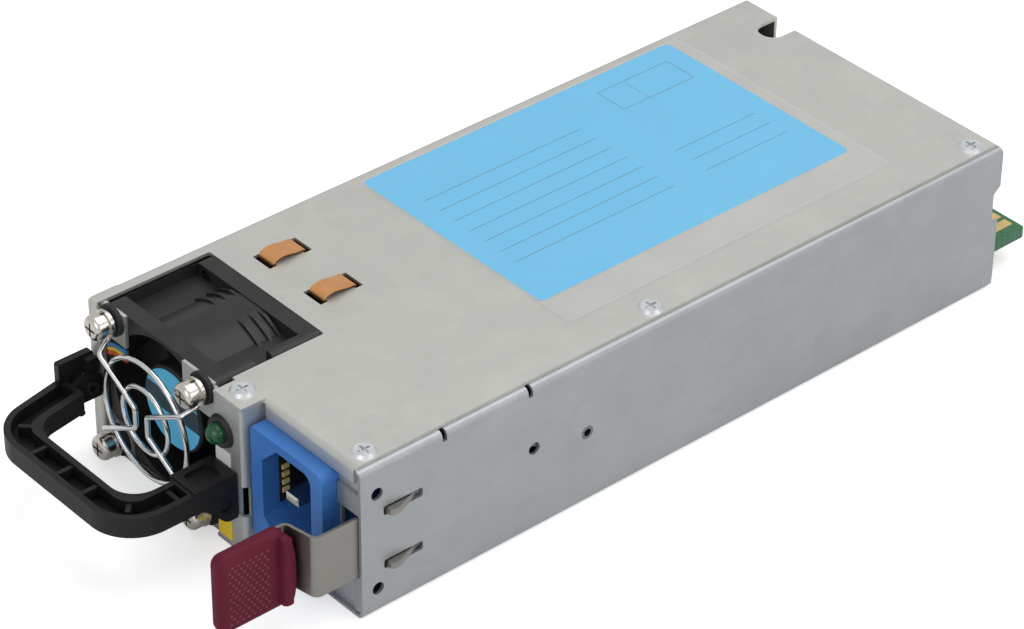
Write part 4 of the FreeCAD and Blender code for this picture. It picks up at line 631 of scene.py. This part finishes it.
# %% Grounding fingers
FINGER_SHARES = [
    (0.34, 0.05), (0.10, 0.05), (0.065, 0.12), (0.06, 0.45), (0.10, 0.75), (0.20, 0.88), (0.34, 0.955),
    (0.52, 0.87), (0.70, 0.75), (0.86, 0.71), (0.92, 0.61), (0.935, 0.40), (0.935, 0.12), (0.90, 0.05),
    (0.68, 0.05),
]
FINGER_HALF_THICK = 0.125 * MM
FINGER_SIDE_GAP = 0.15 * MM


def sprung_finger(name, node, body):
    """Corners = line + and - half the thickness along its normal, at the left and at the right side."""
    low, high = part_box(node)
    size = (high.y - low.y, high.z - low.z)
    line = smooth_path(np.array([low.y, low.z]) + np.array(FINGER_SHARES) * size, 6)
    along = np.gradient(line, axis=0)
    along /= np.linalg.norm(along, axis=1)[:, None]
    off = np.stack([-along[:, 1], along[:, 0]], axis=1) * FINGER_HALF_THICK
    left, right = low.x + FINGER_SIDE_GAP, high.x - FINGER_SIDE_GAP
    corners = [(left, line + off), (right, line + off), (right, line - off), (left, line - off)]
    rows = np.stack([np.column_stack([np.full(len(line), x), yz]) for x, yz in corners], axis=1)
    piece = new_piece(name, rows, swept_faces(len(rows), 4), "clip_copper", body)
    piece.data.shade_flat()
    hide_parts(node)


sprung_finger("finger_left", "ground_clip_left", "clip_left_body")
sprung_finger("finger_right", "ground_clip_right", "clip_right_body")

# %% [markdown]
# ## The grip's bowed stop
#
# The stop at the rear of the grip is a rounded bar whose line bows to the rear. Its section is a squarish
# oval, |y|^4 + |x|^4 = 1, which shrinks towards both ends. All of its points are one grid, with the height
# along one axis and the angle round the oval along the other. The sizes are in millimetres.

# %% Grip stop
STOP_BOW = 0.85
STOP_FROM_REAR = 2.25
STOP_FROM_FACE = 2.0
STOP_END_GAP = 0.75
STOP_HALF_DEPTH = 1.55
STOP_REACH = 2.2
STOP_ROOT = 0.4


def bowed_stop(node):
    """Rows of ovals from t = -1 to 1: their middle lies at y = rear - 2.25 + 0.85 * (1 - t*t) millimetres.

    An oval's point at angle u is (cos u, sin u) over the fourth root of cos^4 u + sin^4 u, and its size
    shrinks as the square root of 1 - t^6. On the grip's side it is cut off at the root.
    """
    low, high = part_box(node)
    t = np.sin(np.linspace(-0.5, 0.5, 33) * np.pi)
    u = np.linspace(0.0, 2.0 * np.pi, 28, endpoint=False)
    tt, uu = np.meshgrid(t, u, indexing="ij")
    shrink = np.clip(1.0 - np.abs(tt) ** 6, 0.0, 1.0) ** 0.5 * 0.94 + 0.06
    square = (np.abs(np.cos(uu)) ** 4 + np.abs(np.sin(uu)) ** 4) ** -0.25
    depth = STOP_HALF_DEPTH * shrink * square * np.cos(uu)
    reach = (STOP_REACH * shrink * square * np.sin(uu)).clip(-STOP_ROOT, None)
    middle = (high.z + low.z) / 2
    half = (high.z - low.z) / 2 - STOP_END_GAP * MM
    y = high.y - STOP_FROM_REAR * MM + (STOP_BOW * (1.0 - tt**2) + depth) * MM
    x = high.x - STOP_FROM_FACE * MM + reach * MM
    points = np.stack([x, y, middle + half * tt], axis=-1)
    return points, swept_faces(len(t), len(u))


points, faces = bowed_stop("latch_grip")
new_piece("grip_stop", points, faces, "grip_maroon", "latch_body")

# %% [markdown]
# ## The dots on the thumb face
#
# The thumb face has a field of small domes so that it doesn't slip. Every second row is moved by half a
# column, as such textures usually are. All domes are one array: the points of one cap plus each centre,
# added by broadcasting, and the faces are repeated in the same way.

# %% Thumb dots
DOT_RADIUS = 0.33 * MM
DOT_RISE = 0.18 * MM
DOT_SUNK = 2.02 * MM
DOT_ROW = 1.1 * MM
DOT_COLUMN = 1.5 * MM
DOT_MARGIN_LOW, DOT_MARGIN_HIGH = 2.4 * MM, 2.2 * MM
DOT_MARGIN_FRONT, DOT_MARGIN_REAR = 2.6 * MM, 5.4 * MM


def dome_field(centres, radius, rise, rings=3, around=8):
    """Points of every dome: centre + (rise * (1 - t*t), radius * t * cos u, radius * t * sin u)."""
    t = np.linspace(0.0, 1.0, rings + 1)[1:]
    u = np.linspace(0.0, 2.0 * np.pi, around, endpoint=False)
    tt, uu = np.meshgrid(t, u, indexing="ij")
    shell = np.stack([rise * (1.0 - tt**2), radius * tt * np.cos(uu), radius * tt * np.sin(uu)], axis=-1)
    cap = np.vstack([[(rise, 0.0, 0.0)], shell.reshape(-1, 3)])
    points = (centres[:, None, :] + cap[None, :, :]).reshape(-1, 3)
    ring, step = np.meshgrid(np.arange(rings - 1), np.arange(around), indexing="ij")
    here, after = 1 + ring * around + step, 1 + ring * around + (step + 1) % around
    bands = np.stack([here, here + around, after + around, after], axis=-1).reshape(-1, 4)
    tips = np.stack([np.zeros_like(here[0]), here[0], after[0]], axis=-1)
    first = np.arange(len(centres))[:, None, None] * len(cap)
    return points, (first + tips).reshape(-1, 3).tolist() + (first + bands).reshape(-1, 4).tolist()


low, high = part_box("latch_grip")
rows = np.arange(low.z + DOT_MARGIN_LOW, high.z - DOT_MARGIN_HIGH, DOT_ROW)
columns = np.arange(low.y + DOT_MARGIN_FRONT, high.y - DOT_MARGIN_REAR, DOT_COLUMN)
yy, zz = np.meshgrid(columns, rows)
yy[1::2] += DOT_COLUMN / 2
centres = np.stack([np.full(yy.size, high.x - DOT_SUNK), yy.ravel(), zz.ravel()], axis=-1)
points, faces = dome_field(centres, DOT_RADIUS, DOT_RISE)
# The domes take the paler copy of the maroon, a painted highlight.
new_piece("grip_dots", points, faces, "grip_dot_painted_highlight", "latch_body")

# %% [markdown]
